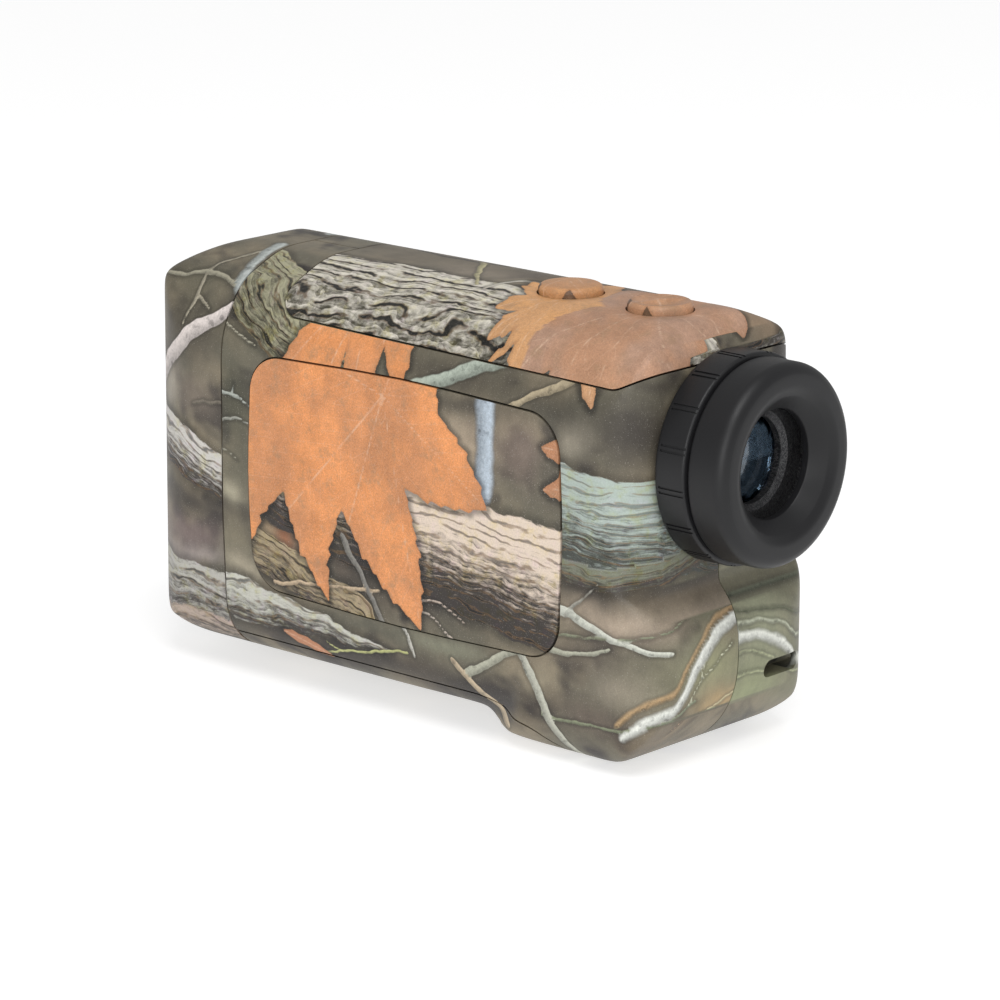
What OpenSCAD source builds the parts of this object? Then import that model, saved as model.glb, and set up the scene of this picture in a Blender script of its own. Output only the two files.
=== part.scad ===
// Compact laser rangefinder: clamshell body, inset top cover, grip pads,
// belly battery door, push buttons and a turning diopter eyepiece.
// Millimetres. +X points at the target, +Y is the user's left, +Z is up.
// The origin is under the middle of the body, at the height of the grip lobe's foot.

/* [Body] */
// Width of the moulded body, without the pads
body_w = 41; // [40:0.5:43]
// Height of the flat top above the foot of the grip lobe
top_z = 65.8; // [65:0.1:67]
// Height of the belly above the foot of the grip lobe
belly_z = 3; // [2.8:0.1:3.2]
// Front face, measured from the origin
front_x = 57; // [56.5:0.1:58]
// Rear wall around the eyepiece
rear_x = -44.5; // [-45:0.1:-44]
// Rear face of the grip lobe
lobe_rear_x = -48.5; // [-49.5:0.1:-48]
// Height of the ledge on top of the grip lobe
ledge_z = 28.4; // [28:0.1:29]
// Wall thickness of the mouldings
wall = 2; // [1.8:0.1:2.2]
// Seam between the shells and the front bezel
seam_x = 36.8; // [36.5:0.1:37.2]
// Visible gap at a seam
seam_gap = 0.15; // [0.1:0.05:0.2]

/* [Panels] */
// How far the grip pads stand proud of the shells
pad_proud = 0.2; // [0.1:0.05:0.4]
// Depth of the pads' seats in the shells
pad_seat = 1; // [0.8:0.1:1.2]
// Front end of the top cover
cover_front_x = 27; // [26:0.5:28]
// Rear end of the battery door
door_rear_x = -29; // [-30:0.5:-28]

/* [Optics] */
// Height of the viewing axis
axis_z = 45.6; // [45.4:0.1:45.8]
// Height of the laser emitter's axis
emitter_z = 19; // [18.8:0.1:19.4]
// Radius of the objective lens
objective_r = 11; // [10.8:0.1:11]
// Radius of the emitter lens
emitter_r = 7.6; // [7.4:0.1:7.6]

/* [Eyepiece] */
// Radius of the diopter ring
ring_r = 15.7; // [15.4:0.1:16]
// Radius of the rubber eyecup, which caps and adapters clamp on
cup_r = 15.08; // [15:0.01:15.3]
// Radius of the opening in the eyecup
throat_r = 8.1; // [7.8:0.1:8.4]
// Radius of the fixed barrel that the ring turns on
barrel_r = 12; // [11.9:0.05:12.1]
// Radius of the sliding ocular cell
cell_r = 10.45; // [10.4:0.01:10.45]
// Number of grip marks round the diopter ring
grip_marks = 16; // [8:1:20]

/* [Buttons] */
// Radius of the push buttons
button_r = 4.85; // [4.6:0.05:5]
// Centre of the power button
power_x = -15.7; // [-16:0.1:-15]
// Centre of the mode button
mode_x = -32.8; // [-33:0.1:-32]
// Height of the button crowns
button_top_z = 66.8; // [66.6:0.1:67.4]

/* [Battery] */
// Radius of the lithium cell
battery_r = 7.75; // [7.6:0.05:7.8]
// Length of the lithium cell
battery_l = 27; // [26.5:0.1:27]
// Height of the cell's axis
battery_z = 13.7; // [13.6:0.1:13.8]

/* [Hidden] */

$fn = 64;
half_w = body_w / 2;
far = 200;                    // larger than the whole part
arc_step = 13;                // degrees per facet of a rounded outline corner
slip = 0.05;                  // radial clearance of a running fit
contact = 0.02;               // clearance between pieces that stay put

// Seams and axes that several pieces share
bezel_x = seam_x + seam_gap;
shell_front_x = seam_x - seam_gap;
hinge_x = seam_x - 1.4;
hinge_z = belly_z + 1.05;
hinge_pin_r = 0.5;
ear_y = 5;
ear_w = 2.4;

// Eyepiece stations along the axis, from the body backwards
ring_front_x = rear_x - 0.4;
ring_rear_x = ring_front_x - 5.4;
sleeve_r = 13;
sleeve_rear_x = ring_rear_x - 2.5;
cup_front_x = ring_rear_x - seam_gap;
cup_rear_x = -front_x;
cell_bore_r = cell_r + slip;
cell_rear_x = -51;
cell_front_x = -31.5;
pin_x = -47.6;
pin_r = 0.6;
focus_travel = 1.5;

barrel_bore_x = [-60, -36];
flange_r = barrel_r + 1;
eye_lens_r = 8.6;
field_lens_r = 8.2;

// Lens and tube stations, from the front backwards
objective_cell_x = [33, 53.6];
emitter_tube_x = [20, 52.8];
objective_cell_r = objective_r + 1.4;
emitter_tube_r = emitter_r + 1;
nose_tube_x = 43;
nose_tube_t = 1.2;
tongue_foot_z = 9;            // the tongue stops above the door

// Boards
board_t = 1.2;
main_board_z = 29.6;
button_board_z = 58.6;
switch_h = 1.5;
switch_w = 5;
flange_t = 0.8;
button_flange_z = 62.7;

// Screws that clamp the shells, hidden under the right pad: [x, z]
shell_screws = [[24, 31.9], [-28.5, 24.8], [10.5, 22.4]];
head_seat_y = 17.2;
cover_screw_x = (power_x + mode_x) / 2;
cover_screw_y = 9.5;
screw_r = 0.78;

// Battery cell, from its spring end to its contact end
battery_x = [-23, -23 + battery_l];

// Lanyard eye in the right shell's rear lower corner
lanyard_z = 12.1;
lanyard_h = 2.8;
lanyard_y = [-15, -6.5];
lanyard_x = lobe_rear_x + 4.5;

// Finger dish round a button
scoop_depth = 1.1;
scoop_r = 8.2;

// Pair of fine grooves along the diopter ring
mark_w = 0.42;
mark_pitch = 0.8;
mark_depth = 0.35;

// Prism block and its holder
prism_x = [-19, 7];
prism_y = 8.4;
prism_z = [axis_z - 9.6, axis_z + 9.4];
prism_top_w = 8;
prism_foot_w = 16;
prism_gap = 0.4;
prism_seat = 0.2;
holder_t = 1.2;
display_half = 7.5;
flex_x = -5.6;
flex_t = 0.3;

// Chips under the main board: [x, y, width, depth, height]
chips = [
    [-24, 0, 10, 10, 1.2], [-8, 6, 7, 7, 1], [-8, -7, 6, 5, 1], [4, 5, 5, 4, 1],
    [4, -6, 4, 6, 1.1], [-33, 8, 4, 4, 1.4], [-33, -8, 5, 3, 1.4]
];

camo_green = "#6f7058";
camo_orange = "#b5713f";
camo_bark = "#77736a";

// ---------- outlines: [along, up, corner radius] ----------

trunk_side = [
    [front_x, top_z, 13.7], [rear_x, top_z, 7.5], [rear_x, belly_z, 4],
    [-6, belly_z + 0.8, 45], [14, belly_z, 80], [front_x - 3, belly_z, 12],
    [front_x, 34, 40]
];
lobe_side = [
    [-4, belly_z + 1.5, 0], [-4, ledge_z, 0], [lobe_rear_x, ledge_z, 10.2],
    [lobe_rear_x, 0, 15], [-24, 0, 30], [-8, belly_z + 0.4, 30]
];
trunk_half = [
    [7, top_z, 16], [15.8, top_z - 3.9, 7], [half_w, 54.5, 14], [half_w, 27, 60],
    [half_w - 1, belly_z, 10]
];
lobe_half = [[half_w, top_z, 0], [half_w, 27, 60], [half_w - 1, 0, 8.2]];
trunk_plan = [[front_x, half_w, 13.5], [rear_x, half_w, 8.5]];
lobe_plan = [[-4, 8, 3], [-24, half_w, 12], [lobe_rear_x, half_w, 9.3]];

cover_side = [
    [-80, 90, 0], [-80, 62, 0], [rear_x - 0.1, 59.8, 2], [-40, 57.4, 4],
    [cover_front_x, 58.5, 3.5], [cover_front_x, 90, 0]
];
door_side = [
    [seam_x - 0.4, -9, 0], [seam_x - 0.4, 6.6, 0], [-14, 6.6, 14], [-25, 3.9, 8],
    [door_rear_x, 1.2, 1.5], [door_rear_x, -9, 0]
];
pad_side = [
    [-31, 15.9, 6], [0, 15, 300], [30.2, 15.9, 6], [31.1, 34, 90],
    [30.2, 52, 6], [0, 53, 300], [-31, 52, 6], [-32, 34, 90]
];

// ---------- helpers ----------

function unit(v) = v / norm(v);

// Points of the arc that rounds corner b between its neighbours a and c
function corner_arc(a, b, c, r) =
    let (
        u = unit([a.x - b.x, a.y - b.y]),
        w = unit([c.x - b.x, c.y - b.y]),
        half = acos(u * w) / 2,
        foot = [b.x, b.y] + u * r / tan(half),
        centre = [b.x, b.y] + unit(u + w) * r / sin(half),
        turn = (180 - 2 * half) * (cross(u, w) > 0 ? -1 : 1),
        from = atan2(foot.y - centre.y, foot.x - centre.x),
        steps = max(2, ceil(abs(turn) / arc_step))
    )
    [for (i = [0:steps]) centre + r * [cos(from + turn * i / steps), sin(from + turn * i / steps)]];

// A closed outline with each corner rounded by its own radius
function rounded(points) =
    let (n = len(points))
    [for (i = [0:n - 1])
        let (b = points[i])
        each b[2] == 0
            ? [[b.x, b.y]]
            : corner_arc(points[(i + n - 1) % n], b, points[(i + 1) % n], b[2])];

function backwards(points) = [for (i = [len(points) - 1:-1:0]) points[i]];

// Half outlines made whole about the upright or the lengthwise centre line
function both_sides(half) = concat(half, [for (p = backwards(half)) [-p.x, p.y, p[2]]]);
function both_ways(half) = concat(half, [for (p = backwards(half)) [p.x, -p.y, p[2]]]);

module outline(points, inset) {
    if (inset == 0)
        polygon(rounded(points));
    else
        offset(delta = -inset) polygon(rounded(points));
}

module along_x() { rotate([90, 0, 90]) linear_extrude(far, center = true) children(); }
module along_y() { rotate([90, 0, 0]) linear_extrude(far, center = true) children(); }
module along_z() { linear_extrude(far, center = true) children(); }

module block(low, high) { translate(low) cube(high - low); }

// Rod, tube and turned piece about an axis parallel to X
module rod(x, r, z = axis_z, y = 0) {
    translate([x[0], y, z]) rotate([0, 90, 0]) cylinder(h = x[1] - x[0], r = r);
}
module tube(x, r_out, r_in, z = axis_z) {
    difference() {
        rod(x, r_out, z);
        rod([x[0] - 1, x[1] + 1], r_in, z);
    }
}
module turned(points, z = axis_z) {
    translate([0, 0, z]) rotate([0, 90, 0]) rotate_extrude()
        polygon([for (p = rounded(points)) [p.y, p.x]]);
}

// A biconvex lens between two stations, whose faces bulge by the given height
module lens(x, r, bulge, z = axis_z) {
    ball = (r * r + bulge * bulge) / (2 * bulge);
    steps = 8;
    // How far the face has fallen away at step i from the centre
    function fall(i) = ball - sqrt(ball * ball - pow(r * i / steps, 2));
    front = [for (i = [0:steps]) [x[1] - fall(i), r * i / steps, 0]];
    rear = [for (i = [steps:-1:0]) [x[0] + fall(i), r * i / steps, 0]];
    turned(concat(front, rear), z);
}

// ---------- body form ----------

module trunk(inset) {
    intersection() {
        along_y() outline(trunk_side, inset);
        along_x() outline(both_sides(trunk_half), inset);
        along_z() outline(both_ways(trunk_plan), inset);
    }
}
module lobe(inset) {
    intersection() {
        along_y() outline(lobe_side, inset);
        along_x() outline(both_sides(lobe_half), inset);
        along_z() outline(both_ways(lobe_plan), inset);
    }
}
module body_form(inset) {
    trunk(inset);
    lobe(inset);
}
module skin(outer, inner) {
    difference() {
        body_form(outer);
        body_form(inner);
    }
}
module cover_region(grow) { along_y() offset(delta = grow) polygon(rounded(cover_side)); }
module door_region(grow) { along_y() offset(delta = grow) polygon(rounded(door_side)); }
module pad_region(grow) { along_y() offset(delta = grow) polygon(rounded(pad_side)); }

// side = 1 for the left half, -1 for the right half
module half_space(side, from = 0) {
    start_y = side > 0 ? from : -far;
    translate([-far, start_y, -far]) cube([2 * far, far - (side > 0 ? 0 : from), 2 * far]);
}

// ---------- shells ----------

// Post that a clamping screw passes through, from the parting plane to the wall
module screw_post(side, at, r_hole) {
    translate([at[0], 0, at[1]]) rotate([side > 0 ? -90 : 90, 0, 0]) difference() {
        cylinder(h = half_w - wall + 0.5, r = 2.3);
        translate([0, 0, -1]) cylinder(h = half_w, r = r_hole);
    }
}

module shell_half(side) {
    difference() {
        intersection() {
            union() {
                skin(0, wall);
                intersection() {
                    shell_inside(side);
                    body_form(wall / 2);
                }
            }
            half_space(side);
        }
        translate([shell_front_x, -far / 2, -far / 2]) cube(far);
        cover_region(seam_gap);
        door_region(seam_gap + 0.1);
        intersection() {
            pad_region(seam_gap);
            half_space(side, 8);
            difference() {
                translate([-far, -far, -far]) cube(2 * far);
                body_form(pad_seat + contact);
            }
        }
        rod(barrel_bore_x, barrel_r + 0.2);
    }
}

module shell_inside(side) {
    for (at = shell_screws) screw_post(side, at, side > 0 ? 0.8 : 1.1);
    // Rails that carry the main board and the prism holder
    rail_y = side > 0 ? [15, half_w] : [-half_w, -15];
    block([-36, rail_y[0], main_board_z - 1.2], [12, rail_y[1], main_board_z - contact]);
    block([-7.5, rail_y[0], 32.4], [0.5, rail_y[1], 33.6 - contact]);
}

module left_shell() color(camo_green) shell_half(1);

// The right shell also carries the lanyard eye in its rear lower corner
module right_shell() color(camo_green) difference() {
    union() {
        shell_half(-1);
        intersection() {
            body_form(wall / 2);
            block([lobe_rear_x, -half_w, lanyard_z - 3.2], [lobe_rear_x + 7.5, -4.5, lanyard_z + 3.2]);
        }
    }
    lanyard_channel();
    for (at = shell_screws) translate([at[0], -half_w, at[1]]) rotate([-90, 0, 0])
        cylinder(h = half_w - head_seat_y, r = 2.1);
}
module lanyard_channel() {
    mouth = lanyard_y[1] - lanyard_y[0] - lanyard_h;
    // Mouth in the rear face
    for (at = [0, mouth]) translate([lobe_rear_x - 1, lanyard_y[0] + lanyard_h / 2 + at, lanyard_z])
        rotate([0, 90, 0]) cylinder(h = 5.5, r = lanyard_h / 2);
    block([lobe_rear_x - 1, lanyard_y[0] + lanyard_h / 2, lanyard_z - lanyard_h / 2],
          [lanyard_x, lanyard_y[1] - lanyard_h / 2, lanyard_z + lanyard_h / 2]);
    // Way out through the side
    block([lobe_rear_x + 2, -half_w - 1, lanyard_z - lanyard_h / 2],
          [lanyard_x, lanyard_y[1] - lanyard_h / 2, lanyard_z + lanyard_h / 2]);
}

// ---------- bezel, cover, pads and door ----------

module front_bezel() color(camo_green) difference() {
    union() {
        difference() {
            skin(0, wall);
            translate([bezel_x - far, -far / 2, -far / 2]) cube(far);
        }
        intersection() {
            body_form(0.6);
            union() {
                tube([nose_tube_x, front_x], objective_cell_r + nose_tube_t, objective_cell_r + contact);
                tube([nose_tube_x, front_x], emitter_tube_r + nose_tube_t, emitter_tube_r + contact,
                     emitter_z);
            }
        }
        // Tongue that slides inside the shells, above the door
        difference() {
            skin(wall + 0.1, wall + 1.2);
            translate([33 - far, -far / 2, -far / 2]) cube(far);
            translate([bezel_x + 1.5, -far / 2, -far / 2]) cube(far);
            translate([-far / 2, -far / 2, tongue_foot_z - far]) cube(far);
        }
        bezel_bridge();
        for (side = [-1, 1]) hinge_ear(side * ear_y);
    }
    rod([nose_tube_x, objective_cell_x[1]], objective_cell_r + contact);
    rod([nose_tube_x, emitter_tube_x[1]], emitter_tube_r + contact, emitter_z);
    rod([objective_cell_x[1] - 1, front_x + 1], objective_r + 0.3);
    rod([emitter_tube_x[1] - 1, front_x + 1], emitter_r, emitter_z);
    lens_flare(axis_z, front_x, objective_r + 0.3);
    lens_flare(emitter_z, front_x - 1.2, emitter_r);
    translate([hinge_x, 0, hinge_z]) rotate([90, 0, 0])
        cylinder(h = 20, r = hinge_pin_r + contact / 2, center = true);
}
// Dished rim round a lens opening
module lens_flare(z, x, r) {
    translate([x - 1.6, 0, z]) rotate([0, 90, 0]) cylinder(h = 3.2, r1 = r, r2 = r + 3.2);
}
// Joins the tongue to the bezel's wall
module bezel_bridge() {
    difference() {
        skin(wall - 0.4, wall + 1.2);
        translate([bezel_x - far, -far / 2, -far / 2]) cube(far);
        translate([bezel_x + 1.5, -far / 2, -far / 2]) cube(far);
        translate([-far / 2, -far / 2, tongue_foot_z - far]) cube(far);
    }
}
module hinge_ear(y) {
    translate([hinge_x, y, hinge_z]) rotate([90, 0, 0])
        cylinder(h = ear_w, r = hinge_z - belly_z, center = true);
    block([hinge_x, y - ear_w / 2, belly_z], [bezel_x + 1, y + ear_w / 2, 2 * hinge_z - belly_z]);
}

module bezel_seal() color("#202020") difference() {
    skin(0.6, wall - 0.1);
    translate([shell_front_x + contact - far, -far / 2, -far / 2]) cube(far);
    translate([bezel_x - contact, -far / 2, -far / 2]) cube(far);
    translate([-far / 2, -far / 2, 7.2 - far]) cube(far);
}

module top_cover() color(camo_bark) difference() {
    union() {
        intersection() {
            skin(0, wall);
            cover_region(0);
        }
        for (side = [-1, 1])
            translate([cover_screw_x, side * cover_screw_y, button_board_z + board_t + contact])
                cylinder(h = 4, r = 1.9);
    }
    for (x = [power_x, mode_x]) {
        translate([x, 0, 50]) cylinder(h = 30, r = button_r + 0.2);
        button_scoop(x);
    }
    for (side = [-1, 1]) translate([cover_screw_x, side * cover_screw_y, 50])
        cylinder(h = 13.5, r = screw_r + contact);
    rod(barrel_bore_x, barrel_r + 0.2);
}
// Shallow finger dish round a button
module button_scoop(x) {
    ball = (scoop_r * scoop_r + scoop_depth * scoop_depth) / (2 * scoop_depth);
    translate([x, 0, top_z + ball - scoop_depth]) sphere(r = ball, $fn = 120);
}

module grip_pad(side) {
    intersection() {
        skin(-pad_proud, pad_seat);
        pad_region(0);
        half_space(side, 8);
    }
}
module left_pad() color(camo_orange) grip_pad(1);
module right_pad() color(camo_orange) grip_pad(-1);

module battery_door() color(camo_green) difference() {
    union() {
        intersection() {
            skin(0, wall);
            door_region(0);
        }
        // Spring tongue at the free end
        block([door_rear_x + 1.6, -5, 1.4], [door_rear_x + 2.8, 5, 7]);
    }
    for (side = [-1, 1])
        block([hinge_x - 1.3, side * ear_y - ear_w / 2 - 0.2, -1],
              [seam_x + 2, side * ear_y + ear_w / 2 + 0.2, 9]);
    translate([hinge_x, 0, hinge_z]) rotate([90, 0, 0])
        cylinder(h = 20, r = hinge_pin_r + slip, center = true);
}
module door_hinge_pin() color("silver") translate([hinge_x, 0, hinge_z]) rotate([90, 0, 0])
    cylinder(h = 18, r = hinge_pin_r, center = true);

// ---------- eyepiece ----------

module eyepiece_base() color("#2b2b2b") difference() {
    turned([
        [-52.6, barrel_r, 0.3], [-52.6, cell_bore_r, 0], [-29, cell_bore_r, 0], [-29, barrel_r - 0.4, 0],
        [-40.4, barrel_r - 0.4, 0], [-40.4, flange_r, 0], [-42.4, flange_r, 0],
        [-42.4, barrel_r, 0]
    ]);
    // Groove for the seal
    tube([-51.9, -50.9], barrel_r + 1, barrel_r - 0.8);
    // Straight slot that keeps the ocular cell from turning
    translate([pin_x, 0, axis_z + barrel_r - 1])
        cube([2 * (focus_travel + pin_r + slip), 2 * (pin_r + slip), 6], center = true);
}
module eyepiece_seal() color("#1a1a1a") translate([-51.4, 0, axis_z]) rotate([0, 90, 0])
    rotate_extrude() translate([barrel_r - 0.38, 0]) circle(r = 0.38, $fn = 32);

module diopter_ring() color("#262626") difference() {
    turned([
        [ring_front_x, ring_r, 0.5], [ring_front_x, barrel_r + slip, 0],
        [sleeve_rear_x, barrel_r + slip, 0],
        [sleeve_rear_x, sleeve_r, 0], [ring_rear_x, sleeve_r, 0], [ring_rear_x, ring_r, 0.4]
    ]);
    tube([pin_x - focus_travel - pin_r - 0.1, pin_x + focus_travel + pin_r + 0.1], 12.9, 5);
    for (i = [0:grip_marks - 1]) translate([0, 0, axis_z])
        rotate([i * 360 / grip_marks + 13.9, 0, 0]) grip_mark();
}
// A pair of fine grooves along the ring
module grip_mark() {
    for (side = [-1, 1])
        translate([ring_rear_x - 1, side * mark_pitch / 2 - mark_w / 2, ring_r - mark_depth])
            cube([ring_front_x - ring_rear_x, mark_w, 2]);
}

module eyecup() color("#1e1e1e") turned([
    [cup_front_x, cup_r, 0.4], [cup_front_x, sleeve_r + contact, 0],
    [sleeve_rear_x - 0.2, sleeve_r + contact, 0], [sleeve_rear_x - 0.2, throat_r, 0.3],
    [sleeve_rear_x - 1.4, throat_r, 0.4],
    [cup_rear_x, 10.9, 1.4], [cup_rear_x, cup_r, 2.2]
]);

module ocular_cell() color("#303030") difference() {
    tube([cell_rear_x, cell_front_x], cell_r, 7.6);
    rod([cell_rear_x - 1, -44], eye_lens_r);
    rod([-36, cell_front_x + 1], field_lens_r);
    translate([pin_x, 0, axis_z + 7]) cylinder(h = 8, r = pin_r + contact / 2);
}
module guide_pin() color("silver") translate([pin_x, 0, axis_z + 9]) cylinder(h = 3.6, r = pin_r);
module eye_lens() color("#9fc4d8", 0.5) lens([-49.2, -44.1], eye_lens_r - contact, 1.6);
module ocular_retainer() color("#3a3a3a") turned([
    [cell_rear_x, 7.4, 0], [cell_rear_x, eye_lens_r - contact, 0], [-48.3, eye_lens_r - contact, 0],
    [-48.3, 8, 0], [-49.3, 6.5, 0], [-50.4, 6.5, 0]
]);
module field_lens() color("#9fc4d8", 0.5) lens([-35.9, -32.1], field_lens_r - contact, 1.2);

// ---------- objective and emitter ----------

module objective_cell() color("#2e2e2e") difference() {
    tube(objective_cell_x, objective_cell_r, objective_r - 0.8);
    rod([45.2, objective_cell_x[1] + 1], objective_r + contact);
}
module objective_lens() color("#7fa6c9", 0.5) lens([45.3, 50.6], objective_r, 1.8);
module objective_retainer() color("#3a3a3a") turned([
    [objective_cell_x[1], 10.5, 0], [objective_cell_x[1], objective_r, 0], [49.2, objective_r, 0],
    [49.2, 10.4, 0], [50.9, 9.9, 0], [52.4, 9.9, 0]
]);

module emitter_tube() color("#2e2e2e") difference() {
    tube(emitter_tube_x, emitter_tube_r, emitter_r - 1, emitter_z);
    rod([45.8, emitter_tube_x[1] + 1], emitter_r + contact, emitter_z);
}
module emitter_lens() color("#a46f9a", 0.6) lens([45.9, 50], emitter_r, 1.2, emitter_z);
module emitter_retainer() color("#3a3a3a") turned([
    [emitter_tube_x[1], 7.1, 0], [emitter_tube_x[1], emitter_r, 0], [49, emitter_r, 0],
    [49, 7, 0], [50.2, 6.5, 0], [51.8, 6.5, 0]
], emitter_z);

module laser_diode() color("gold") {
    rod([17.4, 18.6], 2.8, emitter_z);
    rod([18.6, 21.2], 2.3, emitter_z);
}
module laser_board() color("#2f5a3a") block([16.2, -7, 11.5], [17.4 - contact, 7, 26.5]);

// ---------- prisms, display and detector ----------

module prism_slab(points) {
    intersection() {
        along_y() polygon(points);
        block([-far, -prism_y, -far], [far, prism_y, far]);
    }
}
module half_penta_prism() color("#b9d3dc", 0.5) prism_slab([
    [prism_x[1], prism_z[0] + prism_seat], [prism_x[1], prism_z[1]],
    [prism_x[1] - prism_top_w, prism_z[1]], [prism_x[1] - prism_foot_w, prism_z[0] + prism_seat]
]);
module roof_prism() color("#b9d3dc", 0.5) prism_slab([
    [prism_x[0], prism_z[0] + prism_seat],
    [prism_x[1] - prism_foot_w - prism_gap, prism_z[0] + prism_seat],
    [prism_x[1] - prism_top_w - prism_gap, prism_z[1]], [prism_x[0] + 4, prism_z[1]],
    [prism_x[0], prism_z[1] - 5]
]);
module prism_holder() color("#3c3c3c") {
    low = prism_z[0] - 2;
    side_y = prism_y + holder_t;
    reach_y = half_w - wall - 1;
    x = [prism_x[0] - 1, prism_x[1] + 1];
    block([x[0], -side_y, low], [x[1], side_y, prism_z[0] + prism_seat / 2]);
    block([x[0], -side_y, low], [x[1], -prism_y - contact, prism_z[1]]);
    block([x[0], prism_y + contact, low], [x[1], side_y, prism_z[1]]);
    block([-7, -reach_y, low], [0, reach_y, low + holder_t]);
}
module reticle_display() color("#9ab0b0", 0.7) 
    block([-24.4, -display_half, axis_z - display_half], [-22.8, display_half, axis_z + display_half]);
module detector_can() color("gold") translate([12, 0, 33.2]) {
    cylinder(h = 0.8, r = 2.7);
    cylinder(h = 2.8, r = 2.3);
}
module detector_board() color("#2f5a3a") block([7, -8, 32], [17, 8, 33.2 - contact]);

// ---------- boards, switches and buttons ----------

module main_board() color("#2f6b43") block([-38, -16.5, main_board_z], [14, 16.5, main_board_z + board_t]);
module board_chips() color("#222222") for (c = chips)
    translate([c[0], c[1], main_board_z - c[4] / 2 - contact]) cube([c[2], c[3], c[4]], center = true);

module button_board() color("#2f6b43") difference() {
    block([-39.2, -12.4, button_board_z], [-8, 12.4, button_board_z + board_t]);
    for (side = [-1, 1]) translate([cover_screw_x, side * cover_screw_y, button_board_z - 1])
        cylinder(h = 4, r = 1.1);
}
module tact_switches() color("#1c1c1c") for (x = [power_x, mode_x]) {
    base = button_board_z + board_t + contact;
    translate([x - switch_w / 2, -switch_w / 2, base]) cube([switch_w, switch_w, switch_h - 0.3]);
    translate([x, 0, base]) cylinder(h = switch_h, r = 1.6);
}
module flex_cable() color("#b8782a") {
    block([flex_x, -4, main_board_z + board_t + contact], [flex_x + flex_t, 4, 33.4]);
    for (y = [-14, 11]) block([flex_x, y, 33.4 + holder_t + 1], [flex_x + flex_t, y + 3, 57]);
}

// Crowned button with a flange that keeps it under the cover
module button(x, dished) {
    difference() {
        translate([x, 0, 0]) rotate_extrude() polygon(rounded([
            [0, button_flange_z, 0], [button_r + 0.9, button_flange_z, 0],
            [button_r + 0.9, button_flange_z + flange_t, 0], [button_r, button_flange_z + flange_t, 0],
            [button_r, button_top_z - 0.2, 1], [0, button_top_z, 0]
        ]));
        if (dished) for (side = [-1, 1])
            translate([x, side * 12.6, button_top_z + 8.6]) sphere(r = 14.2, $fn = 96);
    }
}
module power_button() color(camo_orange) button(power_x, false);
module mode_button() color(camo_orange) button(mode_x, true);

// Silicone spring dome between a switch and its button
module spring_dome(x) {
    low = button_board_z + board_t + switch_h + 2 * contact;
    high = button_flange_z - contact;
    translate([x, 0, 0]) rotate_extrude()
        polygon([[0, low], [2.6, low], [2.6, low + 0.3], [1.7, high], [0, high]]);
}
module power_spring() color("#d8d4c8") spring_dome(power_x);
module mode_spring() color("#d8d4c8") spring_dome(mode_x);

// ---------- battery ----------

module battery() color("#3a5f8a") {
    rod([battery_x[0], battery_x[1] - 1.2], battery_r, battery_z);
    rod([battery_x[1] - 1.2, battery_x[1]], 2.6, battery_z);
}
module battery_cradle() color("#333333") difference() {
    block([-26.6, -9.4, battery_z - 5], [7.6, 9.4, battery_z + 9.4]);
    rod([battery_x[0] - 1.6, battery_x[1] + 1.6], battery_r + 0.25, battery_z);
    block([battery_x[0] - 1.6, -battery_r - 0.25, -1], [battery_x[1] + 1.6, battery_r + 0.25, battery_z]);
    for (at = shell_screws) translate([at[0], 0, at[1]]) rotate([90, 0, 0])
        cylinder(h = far, r = 2.5, center = true);
}
module positive_contact() color("silver")
    block([battery_x[1] + contact, -4, battery_z - 4], [battery_x[1] + 0.5, 4, battery_z + 4]);
// Bowed leaf that presses the cell forward
module negative_contact() color("silver") {
    block([battery_x[0] - 1.5, -4, battery_z - 4], [battery_x[0] - 1.1, 4, battery_z + 4]);
    rod([battery_x[0] - 1.1, battery_x[0] - contact], 2.2, battery_z);
}

// ---------- fasteners ----------

module housing_screws() color("silver") for (at = shell_screws) translate([at[0], 0, at[1]]) {
    translate([0, -head_seat_y, 0]) rotate([-90, 0, 0]) difference() {
        union() {
            translate([0, 0, -1.4]) cylinder(h = 1.4 - contact, r = 1.9);
            translate([0, 0, -1]) cylinder(h = 31, r = screw_r);
        }
        translate([0, 0, -2]) cube([0.5, 2.4, 2.2], center = true);
    }
}
module cover_screws() color("silver") for (side = [-1, 1])
    translate([cover_screw_x, side * cover_screw_y, button_board_z - contact]) {
        translate([0, 0, -1]) cylinder(h = 1, r = 1.8);
        cylinder(h = 4.4, r = screw_r);
    }

front_bezel();
bezel_seal();
left_shell();
right_shell();
top_cover();
left_pad();
right_pad();
battery_door();
door_hinge_pin();
eyepiece_base();
eyepiece_seal();
diopter_ring();
eyecup();
ocular_cell();
guide_pin();
eye_lens();
ocular_retainer();
field_lens();
objective_cell();
objective_lens();
objective_retainer();
emitter_tube();
emitter_lens();
emitter_retainer();
laser_diode();
laser_board();
prism_holder();
half_penta_prism();
roof_prism();
reticle_display();
detector_can();
detector_board();
main_board();
board_chips();
button_board();
tact_switches();
flex_cable();
power_button();
mode_button();
power_spring();
mode_spring();
battery();
battery_cradle();
positive_contact();
negative_contact();
housing_screws();
cover_screws();
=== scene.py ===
"""Looks of a compact laser rangefinder in a printed woodland finish.

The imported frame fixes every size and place.  The housing mouldings are cut
from one soft outer form, the eyepiece and the buttons are turned, and the
optics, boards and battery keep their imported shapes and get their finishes.
The woodland print is drawn as limbs, twigs and leaves on the unrolled
housing.  Lengths are in millimetres unless a name says otherwise.
"""

from __future__ import annotations

import logging
import math
from dataclasses import dataclass, replace
from enum import Enum
from typing import Callable, Iterable, Sequence, Union

import bpy
import numpy as np
from mathutils import Matrix, Vector

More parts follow.
